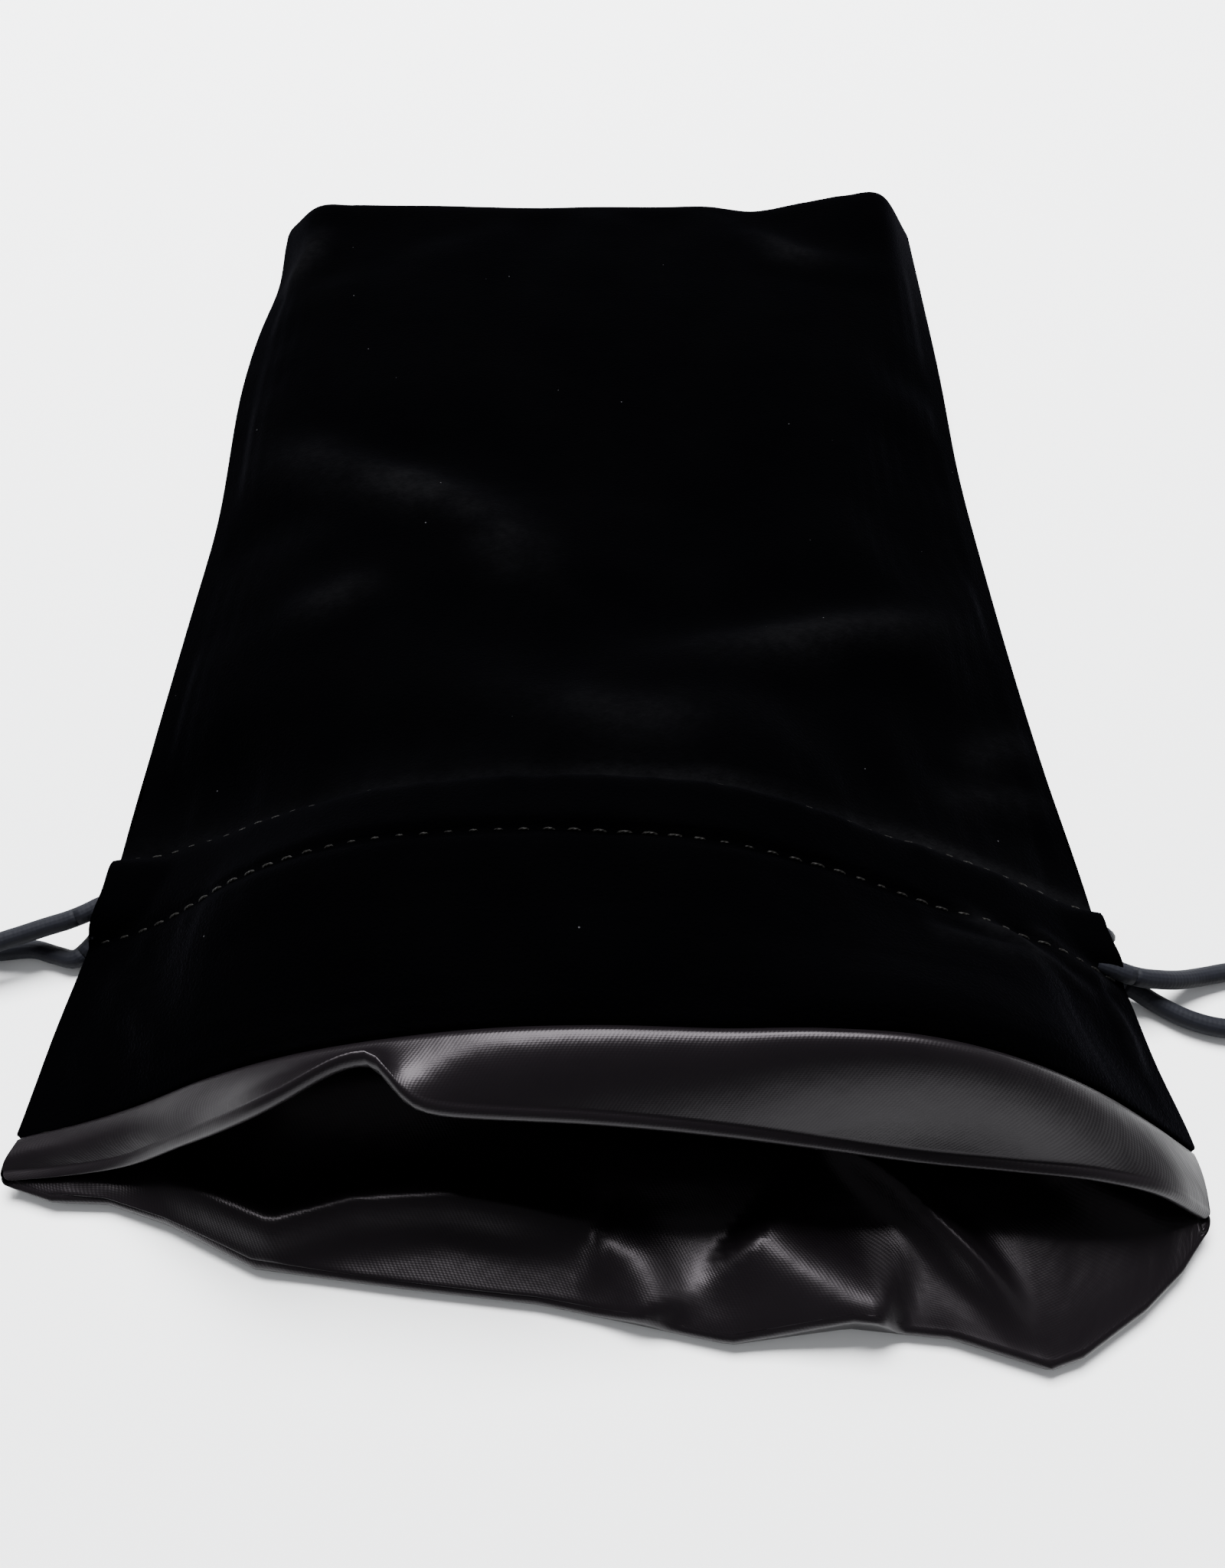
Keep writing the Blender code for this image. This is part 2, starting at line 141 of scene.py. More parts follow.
def tube_parts(line, radius, sides=12, rounded=True):
    """Points, faces and UVs of a round tube along a line, with rounded or flat closed ends."""
    line = np.asarray(line, float)
    tangent = np.gradient(line, axis=0)
    tangent /= np.linalg.norm(tangent, axis=1)[:, None]
    across = np.cross(tangent[0], (0.0, 0.0, 1.0))
    if np.linalg.norm(across) < 1e-3:
        across = np.cross(tangent[0], (1.0, 0.0, 0.0))
    frames = []
    for direction in tangent:
        across = across - direction * np.dot(across, direction)
        across /= np.linalg.norm(across)
        frames.append((across, np.cross(direction, across)))
    rings = [(line[n], radius, n) for n in range(len(line))]
    if rounded:
        start = [(line[0] - tangent[0] * radius * math.sin(a), radius * math.cos(a), 0)
                 for a in np.radians((75.0, 50.0, 25.0))]
        end = [(line[-1] + tangent[-1] * radius * math.sin(a), radius * math.cos(a), len(line) - 1)
               for a in np.radians((25.0, 50.0, 75.0))]
        rings = [*start, *rings, *end]
    turns = np.linspace(0, 2 * math.pi, sides, endpoint=False)
    points = [middle + r * (frames[n][0] * math.cos(a) + frames[n][1] * math.sin(a))
              for middle, r, n in rings for a in turns]
    faces = [(a + m, a + (m + 1) % sides, a + sides + (m + 1) % sides, a + sides + m)
             for a in range(0, (len(rings) - 1) * sides, sides) for m in range(sides)]
    far = along([ring[0] for ring in rings]) + 1e-6
    uvs = [[(m / sides, a), ((m + 1) / sides, a), ((m + 1) / sides, b), (m / sides, b)]
           for a, b in zip(far, far[1:]) for m in range(sides)]
    faces += [tuple(range(sides))[::-1], tuple(range((len(rings) - 1) * sides, len(rings) * sides))]
    uvs += [[(m / sides, 0.0) for m in range(sides)], [(m / sides, far[-1]) for m in range(sides)]]
    return points, faces, uvs


def add_mesh(name, parts, finish):
    """One object in metres from several lots of points, faces and UVs in millimetres."""
    points, faces, uvs = [], [], []
    for some_points, some_faces, some_uvs in parts:
        start = len(points)
        points += [tuple(p) for p in np.asarray(some_points) * MM]
        faces += [tuple(start + i for i in face) for face in some_faces]
        uvs += some_uvs
    mesh = bpy.data.meshes.new(name)
    mesh.from_pydata(points, [], faces)
    layer = mesh.uv_layers.new(name="cloth")
    flat = np.array([c for face in uvs for uv in face for c in uv], np.float32)
    layer.data.foreach_set("uv", flat)
    mesh.shade_smooth()
    mesh.materials.append(finish)
    made = bpy.data.objects.new(name, mesh)
    bpy.context.scene.collection.objects.link(made)
    return made


# --- The bag's shape ---

# Rings across the bag, from the closed end to the lip: the Y of the left side seam, of the middle of the
# front and of the back, and of the right side seam, then the half width, the side seams' height, and how
# far the left and the right side are drawn in.
RINGS = np.array((
    (97.1, 97.1, 97.1, 96.4, 60.3, 4.0, 0.2, 0.0),
    (60.0, 60.0, 60.0, 60.0, 60.3, 4.0, -0.2, 0.8),
    (10.0, 10.0, 10.0, 10.0, 59.3, 4.0, 0.1, 1.1),
    (-24.0, -24.0, -26.0, -28.0, 60.3, 4.0, 0.6, 1.2),
    (-44.5, -45.3, -49.5, -52.0, 62.0, 3.8, 1.9, 1.4),
    (-50.6, -49.5, -54.0, -56.7, 63.0, 4.2, 3.1, 2.5),
    (-56.5, -53.8, -58.5, -61.5, 62.9, 3.8, 1.9, 1.0),
    (-67.0, -64.0, -75.0, -71.0, 63.5, 3.0, 0.9, 0.0),
    (-79.0, -74.5, -90.0, -80.5, 64.0, 2.6, 0.0, -1.5),
    (-84.0, -83.5, -98.0, -88.0, 65.8, 2.3, 0.6, 0.0),
))
RING_PLACES = -RINGS[:, 1]
UPPER_ROW, CASING_MIDDLE, LOWER_ROW, VELVET_END, LIP = 4, 5, 6, 8, 9

# Heights of the top of the bag at each ring, at these shares of the half width from left to right.
STATIONS = np.array((-1, -0.9, -0.78, -0.65, -0.5, -0.35, -0.2, 0, 0.2, 0.35, 0.5, 0.65, 0.78, 0.9, 1))
TOP = np.array((
    (4.3, 9.2, 9.6, 9.5, 9.4, 9.1, 8.9, 9.2, 9.2, 9.4, 8.3, 10.4, 12.1, 12.0, 4.3),
    (4.3, 7.6, 9.4, 10.2, 10.9, 11.2, 11.0, 10.8, 11.0, 11.3, 11.2, 10.7, 9.7, 7.8, 4.3),
    (4.3, 7.3, 9.8, 11.8, 13.0, 13.6, 13.4, 13.0, 12.8, 12.9, 12.6, 11.4, 9.9, 7.4, 4.3),
    (4.3, 6.6, 9.9, 13.2, 15.6, 17.4, 18.4, 18.6, 18.2, 17.2, 15.4, 12.8, 10.3, 7.2, 4.3),
    (4.1, 5.4, 8.9, 13.3, 17.8, 20.9, 22.8, 24.0, 23.8, 21.6, 17.6, 13.9, 10.8, 6.9, 4.1),
    (4.9, 6.4, 10.4, 15.2, 19.9, 22.7, 24.2, 25.1, 24.4, 22.1, 18.2, 14.3, 11.2, 7.4, 4.9),
    (4.1, 6.4, 11.0, 17.0, 22.0, 24.4, 25.6, 26.2, 25.0, 22.6, 18.8, 14.6, 11.6, 7.6, 4.1),
    (3.5, 5.4, 9.6, 15.4, 20.4, 23.0, 24.4, 25.2, 24.6, 24.1, 22.2, 18.2, 13.9, 8.5, 3.5),
    (2.9, 4.5, 8.0, 13.5, 18.2, 21.0, 23.0, 24.0, 24.0, 25.3, 25.2, 21.8, 16.4, 9.5, 2.9),
    (2.5, 3.4, 6.2, 13.5, 21.2, 23.8, 21.6, 20.4, 18.0, 15.6, 13.4, 12.7, 12.1, 9.0, 2.5),
))

# The lip on the table, at the bottom of the mouth: X and Y.
LOWER_LIP = np.array((
    (-66.0, -84.0), (-59.0, -86.2), (-52.8, -86.4), (-46.0, -88.5), (-36.0, -93.0), (-20.0, -95.0),
    (-6.0, -96.5), (13.5, -100.3), (25.7, -98.8), (36.0, -99.8), (45.4, -102.7), (49.0, -101.6),
    (56.4, -97.2), (61.2, -93.4), (66.0, -88.0),
))

CLOSED_END_LENGTH, CLOSED_END_CORNER = 5.9, 3.5
FLAT_BACK = 0.8             # the part of the half width over which the back lies flat
VELVET, LINING_OUT, LINING_IN = 1.1, 1.65, 2.05    # depths below the velvet's face
BAND_OUT, BAND_IN = 0.45, 0.85                    # the lining's band, outside the lip
CASING_BULGE, CASING_DROP, CASING_RISE = 1.3, 1.7, 3.1
CASING_END_LIFT, CASING_END_DROP = 0.7, 2.7       # room for the cords where they leave the casing
LIP_DEPTH = {"front": 2.5, "back": 2.0}             # the lining inside the lip
BAND_ROUND = 0.85           # 0 for a band that slopes evenly to the lip, more for a rounder one
LIP_BACK = 1.2              # how far the lip is set back, which leaves room for its fold
NOTCH_X, NOTCH_DEPTH = -22.6, 4.4                 # where the upper lip is tucked in


def ring_values(t, columns):
    """Columns of the ring table at each t."""
    place = np.interp(t, np.arange(len(RINGS)), RING_PLACES)
    return [smooth_at(RINGS[:, n], RING_PLACES, place) for n in columns]


def top_height(t, s):
    """The smooth height of the bag's top at each t and s."""
    by_ring = smooth_at(TOP.T, STATIONS, s)
    place = np.interp(t, np.arange(len(RINGS)), RING_PLACES)
    steps = np.diff(RING_PLACES)
    slopes = np.diff(by_ring, axis=-1) / steps
    weight = steps[1:] / (steps[1:] + steps[:-1])
    inner = slopes[..., :-1] * weight + slopes[..., 1:] * (1 - weight)
    tangents = np.concatenate([slopes[..., :1], inner, slopes[..., -1:]], axis=-1)
    i = np.clip(np.searchsorted(RING_PLACES, place, side="right") - 1, 0, len(steps) - 1)
    h = steps[i]
    u = (place - RING_PLACES[i]) / h

    def at(values, k):
        return np.take_along_axis(values, k[..., None], axis=-1)[..., 0]

    return hermite(at(by_ring, i), at(by_ring, i + 1), at(tangents, i), at(tangents, i + 1), h, u)


def ease(value):
    """0 to 1, smoothly."""
    value = np.clip(value, 0.0, 1.0)
    return value**2 * (3 - 2 * value)


def casing_share(t):
    """1 along the middle of the casing, 0 at its stitch rows and beyond them."""
    return np.clip(1.0 - np.abs(t - CASING_MIDDLE) ** 6, 0.0, 1.0)


def ridge(x, y, line, width, height, tail=0.35):
    """A long soft fold along a line of points, fading over its ends."""
    line = np.asarray(line, float)
    far = along(np.column_stack([line, np.zeros(len(line))]))
    best = np.full(np.shape(x), 1e9)
    place = np.zeros(np.shape(x))
    for n, (a, b) in enumerate(zip(line, line[1:])):
        step = b - a
        share = np.clip(((x - a[0]) * step[0] + (y - a[1]) * step[1]) / (step @ step), 0, 1)
        gap = np.hypot(x - a[0] - share * step[0], y - a[1] - share * step[1])
        nearer = gap < best
        best = np.where(nearer, gap, best)
        place = np.where(nearer, far[n] + share * (far[n + 1] - far[n]), place)
    place /= far[-1]
    fade = ease(place / tail) * ease((1 - place) / tail)
    return height * np.exp(-((best / width) ** 2)) * fade


# Soft folds in the velvet's front: a line of X and Y, then width and height.
FRONT_FOLDS = (
    (((-57, 31), (-36, 18), (-15, 6), (-3, -19)), 6.0, 1.5),
    (((-45, -12), (-36, -10), (-27, -5)), 4.0, 0.9),
    (((5, -24), (28, -17), (56, -8)), 4.5, 1.2),
    (((-51, 94), (-53, 83), (-57, 70)), 3.5, 1.2),
    (((26, 92), (34, 80), (44, 74)), 4.0, 0.9),
    (((-22, -28), (4, -36), (30, -33)), 5.0, 0.7),
    (((63, -36), (50, -38), (38, -42)), 2.6, 1.0),
    (((62, -25), (52, -29), (44, -36)), 3.0, 0.8),
)
RUFFLE_FOLDS = (
    (((38, -57.0), (42.8, -58.5), (51.3, -63.3), (54.7, -64.8), (55.4, -68.5)), 1.3, 1.2),
    (((48, -57.6), (51.5, -59.0), (56.5, -61.2), (62, -62.4)), 1.2, 0.9),
    (((34, -60.5), (38.6, -62.1), (47.9, -63.8), (52, -66.5)), 1.4, 0.8),
    (((58, -63.5), (60, -69), (59.5, -75)), 1.3, 0.8),
    (((-60, -60), (-52, -66), (-44, -76)), 2.4, 0.8),
    (((-62, -66), (-58, -72), (-55, -79)), 1.8, 0.6),
    (((-12, -58), (-14, -66), (-20, -75)), 3.0, 0.5),
    (((16, -57), (18, -64), (15, -72)), 2.6, 0.4),
)

# Folds in the lining that lies in the mouth: the same, and for some the share over which each end fades.
FLOOR_FOLDS = (
    (((-52, -82), (-34, -88.6), (-26, -86.6), (-16, -86), (-6, -87.8), (3, -90)), 2.6, 3.2, 0.25),
    (((-1, -89.5), (4, -92), (6.5, -99)), 3.4, 1.5, 0.2),
    (((-56, -66), (-34, -72), (-12, -70), (8, -72)), 5.0, 3.0),
    (((15, -88), (20, -93.5), (26, -97), (31, -99)), 5.2, 2.7, 0.15),
    (((22, -76), (32, -84.5), (40, -93.5), (44.8, -100.6)), 1.7, 3.2),
    (((46, -78), (55, -85), (62, -88.5)), 2.4, 1.4),
)

# Dents in the pouch's sides: which side, the Y of the middle, half the length, and how deep.
SIDE_DENTS = ((-1, 80.0, 11.0, 1.2), (-1, 47.0, 15.0, -0.5), (-1, 16.0, 12.0, 0.3), (1, 30.0, 16.0, 0.3))


def pucker(x, seed, pitch):
    """An uneven ripple along a seam, about from -1 to 1."""
    return (
        0.55 * np.sin(2 * np.pi * x / pitch + seed)
        + 0.30 * np.sin(2 * np.pi * x / (pitch * 0.61) + 2.3 * seed + 0.9)
        + 0.25 * np.sin(2 * np.pi * x / (pitch * 1.83) + 0.7 * seed + 2.1)
    )


def front_relief(x, y, t):
    """How far folds and puckers lift the front, velvet and lining together."""
    lift = sum(ridge(x, y, *fold) for fold in FRONT_FOLDS)
    lift = lift + sum(ridge(x, y, *fold) for fold in RUFFLE_FOLDS) * ease((VELVET_END + 0.3 - t) / 0.8)
    lift = lift + 0.30 * pucker(x, 1.3, 13.0) * np.exp(-(((t - 3.75) / 0.5) ** 2))
    lift = lift + 0.35 * pucker(x, 4.1, 17.0) * np.exp(-(((t - 6.7) / 0.6) ** 2))
    return lift


def velvet_relief(x, t):
    """How far the stitch rows draw the velvet in, and how it puckers beside them."""
    lift = np.zeros(np.shape(x))
    for row, seed in ((UPPER_ROW, 0.4), (LOWER_ROW, 2.6)):
        near = np.abs(t - row)
        lift = lift - 0.42 * np.exp(-((near / 0.09) ** 2))
        lift = lift + 0.16 * pucker(x, seed, 5.2) * np.exp(-(((near - 0.22) / 0.2) ** 2))
    return lift


def painted_sheen_marks(side, x, y, t):
    """Painted sheen on the velvet's front: lighter colour along its folds and along the crest above the
    casing, where light catches the pile.
    """
    if side == "back":
        return np.zeros(np.shape(x))
    # Painted sheen: lighter along the folds' crests and the casing's upper row, stronger towards the right.
    painted_sheen_amount = 0.7 * sum(ridge(x, y, line, 0.8 * width, height, 0.45) for line, width, height in FRONT_FOLDS)
    painted_sheen_amount = painted_sheen_amount + sum(ridge(x, y, line, width, height, 0.3) for line, width, height in RUFFLE_FOLDS[:4])
    stronger = 0.65 + 0.35 * np.tanh(x / 20)
    painted_sheen_amount = painted_sheen_amount + 0.95 * stronger * np.exp(-(((t - UPPER_ROW + 0.03) / 0.055) ** 2))
    return np.clip(painted_sheen_amount + 0.15 * np.exp(-(((t - UPPER_ROW - 0.1) / 0.3) ** 2)), 0.0, 1.4)


def floor_relief(x, y):
    """How far the lining in the mouth stands off the velvet under it."""
    return sum(ridge(x, y, *fold) for fold in FLOOR_FOLDS)


def notch(x):
    """The tuck in the upper lip, steep on its right."""
    off = x - NOTCH_X
    return NOTCH_DEPTH * np.exp(-((off / np.where(off > 0, 3.4, 7.5)) ** 2))


SETTLED = {}                # how far the cloth simulation moved each panel, by side


def settled_at(side, t, s):
    """How far the cloth simulation moved a panel, at each t and s."""
    places, shares, moved = SETTLED[side]
    row = np.interp(np.interp(t, np.arange(len(RINGS)), RING_PLACES), places, np.arange(len(places)))
    column = np.interp(s, shares, np.arange(len(shares)))
    r = np.clip(row.astype(int), 0, len(places) - 2)
    c = np.clip(column.astype(int), 0, len(shares) - 2)
    u, v = ease(row - r)[..., None], ease(column - c)[..., None]
    near = moved[r, c] * (1 - v) + moved[r, c + 1] * v
    far = moved[r + 1, c] * (1 - v) + moved[r + 1, c + 1] * v
    return near * (1 - u) + far * u


def place_on(side, t, s, depth, kind="velvet", forward=0.0):
    """Points at t and s, a depth below the velvet's face, as an array of X, Y and Z."""
    t, s, depth, forward = np.broadcast_arrays(*(np.asarray(v, float) for v in (t, s, depth, forward)))
    on_rings = np.clip(t, 0.0, len(RINGS) - 1)
    middle_column = 1 if side == "front" else 2
    left, middle, right, half, seam, left_in, right_in = ring_values(
        on_rings, (0, middle_column, 3, 4, 5, 6, 7))
    share = casing_share(t)
    closing = np.radians(90.0) * np.clip(-t, 0.0, 1.0)
    side_in = depth + share * (0.2 if kind == "velvet" else 1.2)
    half = half - CLOSED_END_CORNER * (1 - np.cos(closing)) * np.abs(s) ** 12 - side_in
    x = half * s + np.where(s < 0, left_in, -right_in) * np.abs(s) ** 3
    y = left + (right - left) * (s + 1) / 2 + (middle - (left + right) / 2) * (1 - s**2) - forward
    for hand, where, reach, dent in SIDE_DENTS:
        x = x - hand * dent * np.exp(-(((y - where) / reach) ** 2)) * np.clip(s * hand, 0, 1) ** 4
    y = y + (CLOSED_END_LENGTH - depth) * np.sin(closing)
    lip_share = np.clip(t - VELVET_END, 0.0, 1.0)
    if side == "front":
        y = y + notch(x) * lip_share**1.5 + LIP_BACK * lip_share
        base = top_height(on_rings, s)
        if kind == "velvet":
            face = depth - CASING_BULGE * share
            relief = velvet_relief(x, t)
            stand = 0.25 + 2.6 * share
        else:
            face = depth + CASING_DROP * share
            relief = 0.0
            stand = 0.25 + 0.3 * share
        relief = relief + front_relief(x, y, t)
        edge = seam + stand
        room = np.maximum(base - edge, 0.0)
        z = edge + room * (1 - face / np.maximum(top_height(on_rings, s * 0) - edge, 3.0)) * np.cos(closing)
        z = z + relief * ease(room / 3.0) * np.cos(closing)
        drop = top_height(s * 0 + VELVET_END, s) - top_height(s * 0 + LIP, s)
        crown = BAND_ROUND * (drop + 2.0) * (lip_share - lip_share**2.3)
        z = z + crown * ease((1.2 - depth) / 0.5)
        near_end = share * np.clip(1.15 - np.abs(t - CASING_MIDDLE) ** 2, 0, 1)
        near_end = near_end * ease((np.abs(s) - 0.68) / 0.2)
        z = z + near_end * (CASING_END_LIFT - 0.8 * depth if kind == "velvet" else -CASING_END_DROP)
    else:
        wanted = np.interp(x, LOWER_LIP[:, 0], LOWER_LIP[:, 1])
        y = y + (wanted - (y + forward)) * ease(lip_share) + LIP_BACK * lip_share
        over = np.clip(np.abs(s) - FLAT_BACK, 0.0, 1.0) / (1.0 - FLAT_BACK)
        flat = np.sqrt(np.clip(1.0 - over**2, 0.0, 1.0))
        face = depth if kind == "velvet" else depth + CASING_RISE * share
        stand = 0.25 + (2.6 * share if kind == "velvet" else -0.9 * share)
        edge = seam - stand
        z = edge - (edge - face) * flat * np.cos(closing)
        if kind == "lining":
            shown = ease(t - LOWER_ROW) * ease((depth - 0.9) / 0.6) * ease((1 - np.abs(s)) / 0.12)
            z = z + floor_relief(x, y) * shown
    points = np.stack([x, y, z], axis=-1)
    if side in SETTLED and (side == "front" or kind == "lining"):
        amount = np.cos(closing) * (1.0 if side == "front" else ease((depth - 0.9) / 0.6))
        points = points + settled_at(side, on_rings, s) * amount[..., None]
    return points


# --- Cloth simulation ---

SETTLE_STEP = 2.6           # between the points of the simulated sheet
SETTLE_FRAMES = 20
SETTLE_SCALE = 10.0         # the sheet is simulated this much larger than it is
SLACK = {"front": 0.035, "back": 0.02}            # how much more cloth there is than the shape needs
SETTLE_LIMIT = {"front": 1.5, "back": 1.2}


CLOTH_SETTINGS = {
    "quality": 6, "mass": 0.15, "tension_stiffness": 20.0, "compression_stiffness": 20.0,
    "shear_stiffness": 8.0, "bending_stiffness": 0.6, "vertex_group_mass": "hold", "pin_stiffness": 0.6,
}


def held_at(side, t, columns):
    """How firmly the panel is held at each point: 1 where it can't move."""
    hold = np.full((len(t), columns), 0.04)
    for row in (UPPER_ROW, LOWER_ROW, VELVET_END):
        hold = np.maximum(hold, 0.9 * np.exp(-(((t - row) / 0.12) ** 2))[:, None])
    hold[np.abs(t - CASING_MIDDLE) < 0.95] = 0.97
    hold[t > (VELVET_END - 0.15 if side == "front" else LIP - 0.3)] = 1.0
    hold[0] = 1.0
    hold[:, [0, 1, -2, -1]] = 1.0
    return hold


def settle(side):
    """Let a panel that is cut a little too large for its shape buckle, held at its seams and stitches."""
    places = np.arange(RING_PLACES[0], RING_PLACES[-1] + SETTLE_STEP, SETTLE_STEP)
    t = np.interp(places, RING_PLACES, np.arange(len(RINGS)))
    shares = np.linspace(-1, 1, round(126 / SETTLE_STEP))
    kind, depth = ("velvet", 0.0) if side == "front" else ("lining", LINING_IN)
    grid = place_on(side, t[:, None], shares, depth, kind)
    high, wide = grid.shape[:2]
    corner = (np.arange(high - 1)[:, None] * wide + np.arange(wide - 1)).ravel()
    mesh = bpy.data.meshes.new("settling")
    scale = MM * SETTLE_SCALE
    mesh.from_pydata(
        (grid.reshape(-1, 3) * scale).tolist(), [],
        np.column_stack([corner, corner + wide, corner + wide + 1, corner + 1]).tolist(),
    )
    cloth = bpy.data.objects.new("settling", mesh)
    bpy.context.scene.collection.objects.link(cloth)
    hold = held_at(side, t, wide)
    group = cloth.vertex_groups.new(name="hold")
    for n, weight in enumerate(hold.ravel()):
        group.add([n], float(weight), "REPLACE")
    modifier = cloth.modifiers.new("settle", "CLOTH")
    for setting, value in CLOTH_SETTINGS.items():
        setattr(modifier.settings, setting, value)
    modifier.settings.shrink_min = -SLACK[side]
    modifier.settings.effector_weights.gravity = 0.0
    modifier.collision_settings.use_collision = False
    modifier.collision_settings.use_self_collision = False
    modifier.point_cache.frame_end = SETTLE_FRAMES
    for number in range(1, SETTLE_FRAMES + 1):
        bpy.context.scene.frame_set(number)
    after = cloth.evaluated_get(bpy.context.evaluated_depsgraph_get()).data
    found = np.empty(high * wide * 3, np.float32)
    after.vertices.foreach_get("co", found)
    moved = found.reshape(high, wide, 3) / scale - grid
    far = np.linalg.norm(moved, axis=-1, keepdims=True)
    limit = SETTLE_LIMIT[side]
    moved *= limit * np.tanh(far / limit) / np.maximum(far, 1e-6)
    if side == "back":
        moved[..., 2] = np.abs(moved[..., 2])
    for axis in (0, 1, 0, 1):
        moved = (np.roll(moved, 1, axis) + 2 * moved + np.roll(moved, -1, axis)) / 4
    moved *= (1 - hold**4)[..., None]
    bpy.data.objects.remove(cloth)
    bpy.data.meshes.remove(mesh)
    bpy.context.scene.frame_set(1)
    return places, shares, moved


# --- Fabric pieces ---

COLUMNS = 160               # across the whole bag, closer together towards the seams
POUCH_STEP, MOUTH_STEP = 1.6, 0.6
# The mouth's sides move in and the pouch's closed end stays, so the fabric is cut into pouch and mouth
# pieces. The cut runs straight, just above the casing's upper stitches.
CUT_Y, CUT_SLOPE = -44.6, -4.2 / 127.0

SHARES = np.sin(np.radians(np.linspace(-90.0, 90.0, COLUMNS + 1)))


def cut_t(side):
    """t of the cut between pouch and mouth, at each column."""
    low, high = np.full(len(SHARES), 3.0), np.full(len(SHARES), 4.6)
    for _ in range(40):
        middle = (low + high) / 2
        spot = place_on(side, middle, SHARES, 0.0)
        above = spot[:, 1] > CUT_Y + CUT_SLOPE * spot[:, 0]
        low, high = np.where(above, middle, low), np.where(above, high, middle)
    return (low + high) / 2


def t_rows(side, last):
    """t at each row and column, from the closed end to last, and the number of the row at the cut."""
    ring_numbers = np.arange(len(RINGS))
    cut = np.interp(cut_t(side), ring_numbers, RING_PLACES)
    end = np.interp(last, ring_numbers, RING_PLACES)
    closing = np.repeat(-np.cos(np.radians(np.linspace(0, 90, 9)))[:-1, None], len(cut), axis=1)
    pouch_count = round((cut.mean() - RING_PLACES[0]) / POUCH_STEP)
    pouch = RING_PLACES[0] + (cut - RING_PLACES[0]) * np.linspace(0, 1, pouch_count + 1)[:, None]
    mouth_count = round((end - cut.mean()) / MOUTH_STEP)
    mouth = cut + (end - cut) * np.linspace(0, 1, mouth_count + 1)[1:, None]
    t = np.interp(np.concatenate([pouch, mouth]), RING_PLACES, ring_numbers)
    return np.concatenate([closing, t]), len(closing) + pouch_count


def normals_of(grid, flip):
    """Unit normals of a grid of points."""
    normal = np.cross(np.gradient(grid, axis=0), np.gradient(grid, axis=1))
    normal /= np.maximum(np.linalg.norm(normal, axis=-1), 1e-9)[..., None]
    return -normal if flip else normal


def uvs_of(grid):
    """Distances over the cloth in millimetres: across from the middle, and along."""
    across = np.linalg.norm(np.diff(grid, axis=1), axis=-1)
    across = np.concatenate([np.zeros((len(grid), 1)), np.cumsum(across, axis=1)], axis=1)
    across -= across[:, grid.shape[1] // 2, None]
    down = np.linalg.norm(np.diff(grid, axis=0), axis=-1)
    down = np.concatenate([np.zeros((1, grid.shape[1])), np.cumsum(down, axis=0)], axis=0)
    return np.stack([across, down], axis=-1)


def cloth_piece(name, faces, rows, columns, finish, flip):
    """A closed sheet cut out of two grids of points, shaded as part of the whole grid."""
    rows, columns = slice(rows[0], rows[1] + 1), slice(columns[0], columns[1] + 1)
    grids = [grid[rows, columns] for grid, *_ in faces]
    high, wide = grids[0].shape[:2]
    count = high * wide
    points = np.concatenate([grid.reshape(-1, 3) for grid in grids]) * MM
    normals = np.concatenate([normal[rows, columns].reshape(-1, 3) for _, normal, _, _ in faces])
    uvs = np.concatenate([uv[rows, columns].reshape(-1, 2) for _, _, uv, _ in faces])
    # the painted sheen of each point, passed to the velvet's colour through a point attribute
    pile_and_painted_sheen = np.concatenate([painted_sheen_amount[rows, columns].ravel() for *_, painted_sheen_amount in faces])
    corner = (np.arange(high - 1)[:, None] * wide + np.arange(wide - 1)).ravel()
    outside = np.column_stack([corner, corner + wide, corner + wide + 1, corner + 1])
    inside = outside[:, ::-1] + count
    numbers = np.arange(count).reshape(high, wide)
    rim = np.concatenate([numbers[:, 0], numbers[-1, 1:], numbers[-2::-1, -1], numbers[0, -2:0:-1]])
    after = np.roll(rim, -1)
    edge = np.column_stack([after, rim, rim + count, after + count])
    quads = np.concatenate([outside, inside, edge])
    if flip:
        quads = quads[:, ::-1]
    mesh = bpy.data.meshes.new(name)
    mesh.from_pydata(points.tolist(), [], quads.tolist())
    layer = mesh.uv_layers.new(name="cloth")
    layer.data.foreach_set("uv", uvs[quads.ravel()].ravel().astype(np.float32))
    mesh.shade_smooth()
    mesh.normals_split_custom_set_from_vertices(normals.tolist())
    mesh.attributes.new("pile_and_painted_sheen", "FLOAT", "POINT").data.foreach_set("value", pile_and_painted_sheen.astype(np.float32))
    mesh.materials.append(finish)
    made = bpy.data.objects.new(name, mesh)
    bpy.context.scene.collection.objects.link(made)
    return made


def bend_mouth(obj, hand):
    """Bakes the piece's placement into its mesh."""
    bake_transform(obj)


def bend_pouch(obj, hand):
    """Bakes the piece's placement into its mesh."""
    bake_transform(obj)


def cloth_halves(names, faces, rows, finish, flip, bend):
    """The left and right halves of one stretch of a panel."""
    middle = COLUMNS // 2
    made = []
    for hand, columns in (("left", (0, middle)), ("right", (middle, COLUMNS))):
        piece = cloth_piece(names.format(hand), faces, rows, columns, finish, flip)
        bend(piece, hand)
        made.append(piece)
    return made


def layered(side, rows, kind):
    """Outer and inner grids, normals and UVs, from rows of t, depths of both faces and forward steps."""
    faces = []
    for face, column in (("outer", 1), ("inner", 2)):
        grid = np.stack([
            place_on(side, row[0], SHARES, row[column], kind, row[column + 2]) for row in rows
        ])
        turned = (face == "inner") != (side == "back")
        t = np.stack([np.broadcast_to(row[0], len(SHARES)) for row in rows])
        # painted sheen along the folds and the casing's upper row, for the velvet's colour
        painted_sheen_amount = painted_sheen_marks(side, grid[..., 0], grid[..., 1], t)
        faces.append((grid, normals_of(grid, turned), uvs_of(grid), painted_sheen_amount))
    return faces


